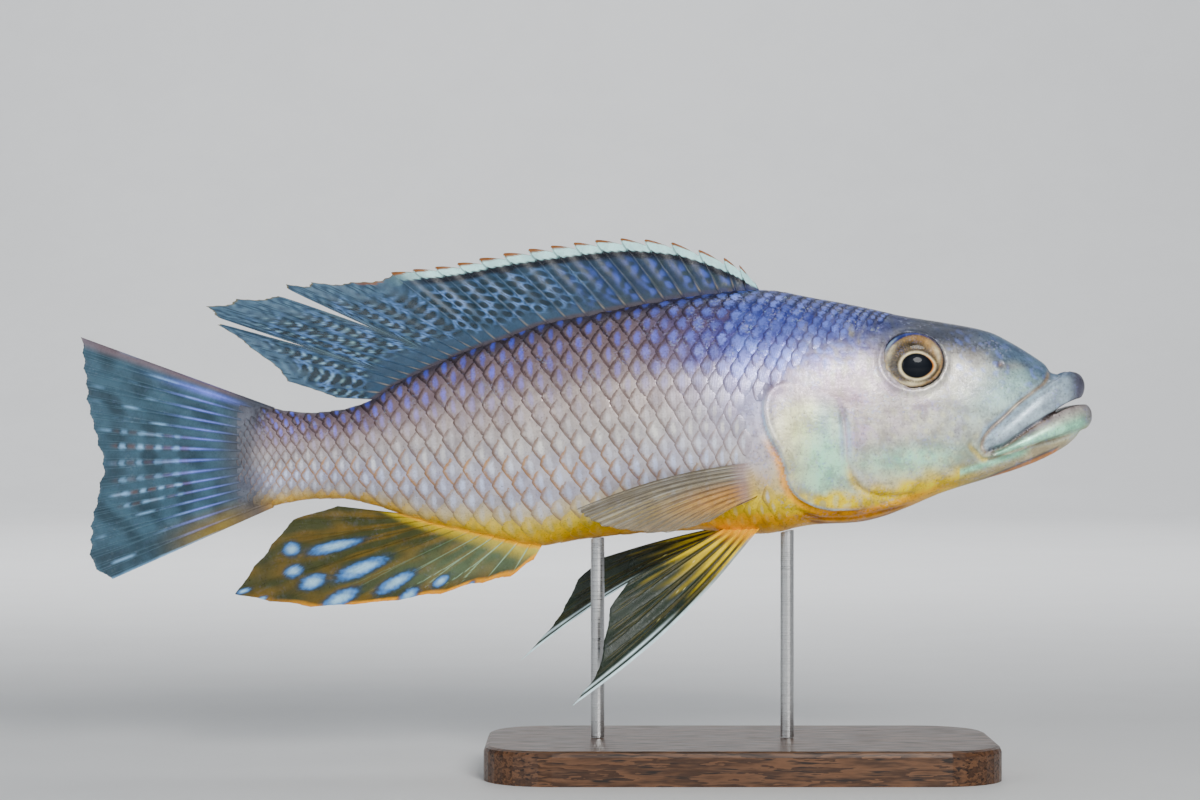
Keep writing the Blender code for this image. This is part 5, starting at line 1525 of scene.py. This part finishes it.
def iris_colour(forward, up, pupil, angle):
    """The colour at a place on the ball. Pupil is 1 on the pupil's edge, and angle is the way round it."""
    rim, around = np.hypot(forward / EYE_LONG, up / EYE_TALL), np.degrees(np.arctan2(up, forward))
    streaks = 0.5 * np.sin(angle * 37 + 3 * np.sin(pupil * 9)) + 0.5 * np.sin(angle * 61 + pupil * 5)
    colour = np.tile(np.array(IRIS_OLIVE), (pupil.size, 1))
    colour = blend(colour, IRIS_GOLD, 0.3 * smooth(streaks, -0.2, 0.9))
    for spot, out, wide, deep, patch, strength in IRIS_PATCHES:
        turned = (around - spot + 180) % 360 - 180
        colour = blend(colour, patch, strength * bump(turned, wide) * bump(rim - out, deep))
    return layered(colour,
        (IRIS_BLUE, smooth(rim + 0.1 * bump(around - 140, 45), 0.86, 0.93) * bump(around - 105, 75)),
        (EDGE_BLUE, 0.7 * bump(around - 145, 16) * bump(rim - 0.9, 0.04)),
        (IRIS_DARK, 0.95 * smooth(rim, 0.93, 0.98)),
        (IRIS_DARK, 0.7 * bump(pupil - 1.3, 0.12) * smooth(streaks, -0.9, 0.3)),
        (IRIS_CREAM, bump(pupil - 1.12, 0.1)),
        (IRIS_ORANGE, 0.9 * bump(pupil - 1.06, 0.07) * bump(angle, 0.8)),
        (PUPIL, 1 - smooth(pupil, 0.98, 1.05)))


# %% Eyeballs
polar, turn = np.meshgrid(np.linspace(0.004, math.pi - 0.004, 120),
                          np.linspace(0, 2 * math.pi, 160, endpoint=False), indexing="ij")
forward, up = EYE_LONG * np.sin(polar) * np.cos(turn), EYE_TALL * np.sin(polar) * np.sin(turn)
pupil_f, pupil_u = forward - PUPIL_FORWARD, up + PUPIL_DOWN
angle = np.arctan2(pupil_u, pupil_f)
pupil = np.hypot(pupil_f / (PUPIL_RADII[0] * (1 + 0.1 * bump(angle, 0.5))), pupil_u / PUPIL_RADII[1])
facing = polar < math.pi / 2  # the half of the ball that is seen: a low dome over the pupil, a hollow about it
out = EYE_DEPTH * np.cos(polar)
out += facing * (0.22 * np.sqrt(np.clip(1 - pupil**2, 0, 1)) - 0.28 * bump(pupil - 1.35, 0.4))
aside = EYE_OUT + out * math.cos(EYE_UPTURN) - up * math.sin(EYE_UPTURN)
height = EYE_HEIGHT + up * math.cos(EYE_UPTURN) + out * math.sin(EYE_UPTURN)
for side_name, side in SIDES:
    points = np.stack([EYE_STATION - forward, side * aside, height], -1)
    obj = tube("eyeball_" + side_name, place(points))
    store(obj.data, "marking", np.clip(iris_colour(*(v.ravel() for v in (forward, up, pupil, angle))), 0, 1))
    # where the iris is mottled and carries painted pearly glints
    store(obj.data, "pearl", smooth(pupil.ravel(), 1.02, 1.2) * 0.8)
    obj.data.materials.append(EYE_MATERIAL)
    print(obj.name, len(obj.data.polygons), "faces")
    dress(obj, "eye", "eye_" + side_name)

# %% [markdown]
# ## Stand
# A museum sets such a fish on thin rods over a plain base, so that the stand does not draw the eye. The base and the
# rods could be built anew, but the frame's own solids are plain enough, and get only a finish. The base is dark oiled
# hardwood: growth rings stretched along the plank, with pores. The rods are brushed steel, with fine lines round
# them.

# %% Wood
WOOD, g, shader, where = new_material("oiled hardwood")
plank = g.node("Mapping", None, Vector=where, Scale=(3.0, 26.0, 26.0)).outputs[0]
grain = g.noise(plank, 6.0, 5, 0.6)
lines = g.math("FRACT", g.times(grain, 9.0))
pores = g.noise(g.node("Mapping", None, Vector=where, Scale=(90.0, 1400.0, 1400.0)).outputs[0], 1.0, 2)
wood = g.mix(g.span(lines, 0.1, 0.9), (0.045, 0.02, 0.01), (0.13, 0.06, 0.028))
wood = g.mix(g.span(pores, 0.56, 0.66), wood, (0.012, 0.006, 0.004))
mottled = use(g, MOTTLE, Color=wood, Place=where, Size=30.0, Amount=0.25)
finish_material(g, shader, pores, 0.1, 0.25, Base_Color=mottled["Color"],
                Roughness=g.span(pores, 0.4, 0.7, 0.32, 0.5), Specular_IOR_Level=0.35)

# %% Steel, and both finishes on the stand
STEEL, g, shader, where = new_material("brushed steel")
brushed = g.noise(g.node("Mapping", None, Vector=where, Scale=(60.0, 60.0, 5200.0)).outputs[0], 1.0, 3)
finish_material(g, shader, brushed, 0.02, 0.3, Base_Color=g.mix(brushed, (0.5, 0.5, 0.51), (0.7, 0.7, 0.7)),
                Roughness=g.span(brushed, 0.3, 0.7, 0.24, 0.42), Metallic=1.0)
for name, material in (("stand_base", WOOD), ("stand_rod_front", STEEL), ("stand_rod_rear", STEEL)):
    for obj in bpy.data.objects:
        if obj.type == "MESH" and obj.name.startswith(name):
            obj.data.materials.clear()
            obj.data.materials.append(material)
            print(obj.name, "gets", material.name)

# %% [markdown]
# ## Floor, light and camera
# A pale floor that bends up into a wall, three large soft lights and one for the wall make an even studio. A single
# hard light would be simpler, but its shadows would hide the scales. The camera looks level at the fish's right side.

# %% Lights
CAMERA_DISTANCE, PICTURE_WIDTH = 1.0, 0.35472  # in metres, the width at the fish's middle plane
CAMERA_X, CAMERA_Z = -0.0413, 0.1099
SENSOR = 36  # width of the camera's sensor in millimetres


def area_light(name, spot, target, size, power, colour=(1, 1, 1)):
    data = bpy.data.lights.new(name, "AREA")
    data.shape, data.size, data.energy, data.color = "DISK", size, power, colour
    light = add_object(name, data)
    light.location = spot
    light.rotation_euler = (Vector(target) - Vector(spot)).to_track_quat("-Z", "Y").to_euler()


area_light("key light", (0.35, -1.35, 0.65), (0, 0, 0.1), 0.5, 21, (1, 0.99, 0.96))
area_light("fill light", (-1.1, -1.1, 0.4), (0, 0, 0.1), 0.8, 7, (0.92, 0.97, 1))
area_light("top light", (0.1, 0.5, 1.4), (0, 0.1, 0.1), 0.9, 4)
area_light("wall light", (-0.2, 0.9, 1.6), (0, 3.2, 0.6), 1.4, 60)
world = bpy.data.worlds.new("studio")
world.use_nodes = True
sky = world.node_tree.nodes["Background"].inputs
sky["Color"].default_value, sky["Strength"].default_value = (0.78, 0.84, 0.9, 1), 0.24
bpy.context.scene.world = world

# %% Floor
FLOOR_MATERIAL, g, shader, where = new_material("studio floor")
mottled = use(g, MOTTLE, Color=(0.78, 0.79, 0.8), Place=where, Size=3.0, Amount=0.05)
finish_material(g, shader, mottled["Height"], 0.05, 0.1, Base_Color=mottled["Color"], Roughness=0.6)
bend = np.linspace(0, math.pi / 2, 24)
profile = [(-3.0, 0.0), *zip(2.2 + 1.2 * np.sin(bend), 1.2 - 1.2 * np.cos(bend)), (3.4, 5.0)]
corners = [(x, y, z) for y, z in profile for x in (-7, 7)]
floor = make_object("studio_floor", corners, [(k, k + 1, k + 3, k + 2) for k in range(0, len(corners) - 2, 2)])
floor.data.materials.append(FLOOR_MATERIAL)
print("floor", len(floor.data.polygons), "faces")

# %% Camera
camera_data = bpy.data.cameras.new("camera")
camera_data.sensor_width = SENSOR
camera_data.lens = SENSOR * CAMERA_DISTANCE / PICTURE_WIDTH
camera_data.clip_end = 50
camera = add_object("camera", camera_data)
camera.location = (CAMERA_X, -CAMERA_DISTANCE, CAMERA_Z)
camera.rotation_euler = (math.pi / 2, 0, 0)
bpy.context.scene.camera = camera
print("lens", round(camera_data.lens, 1), "mm")
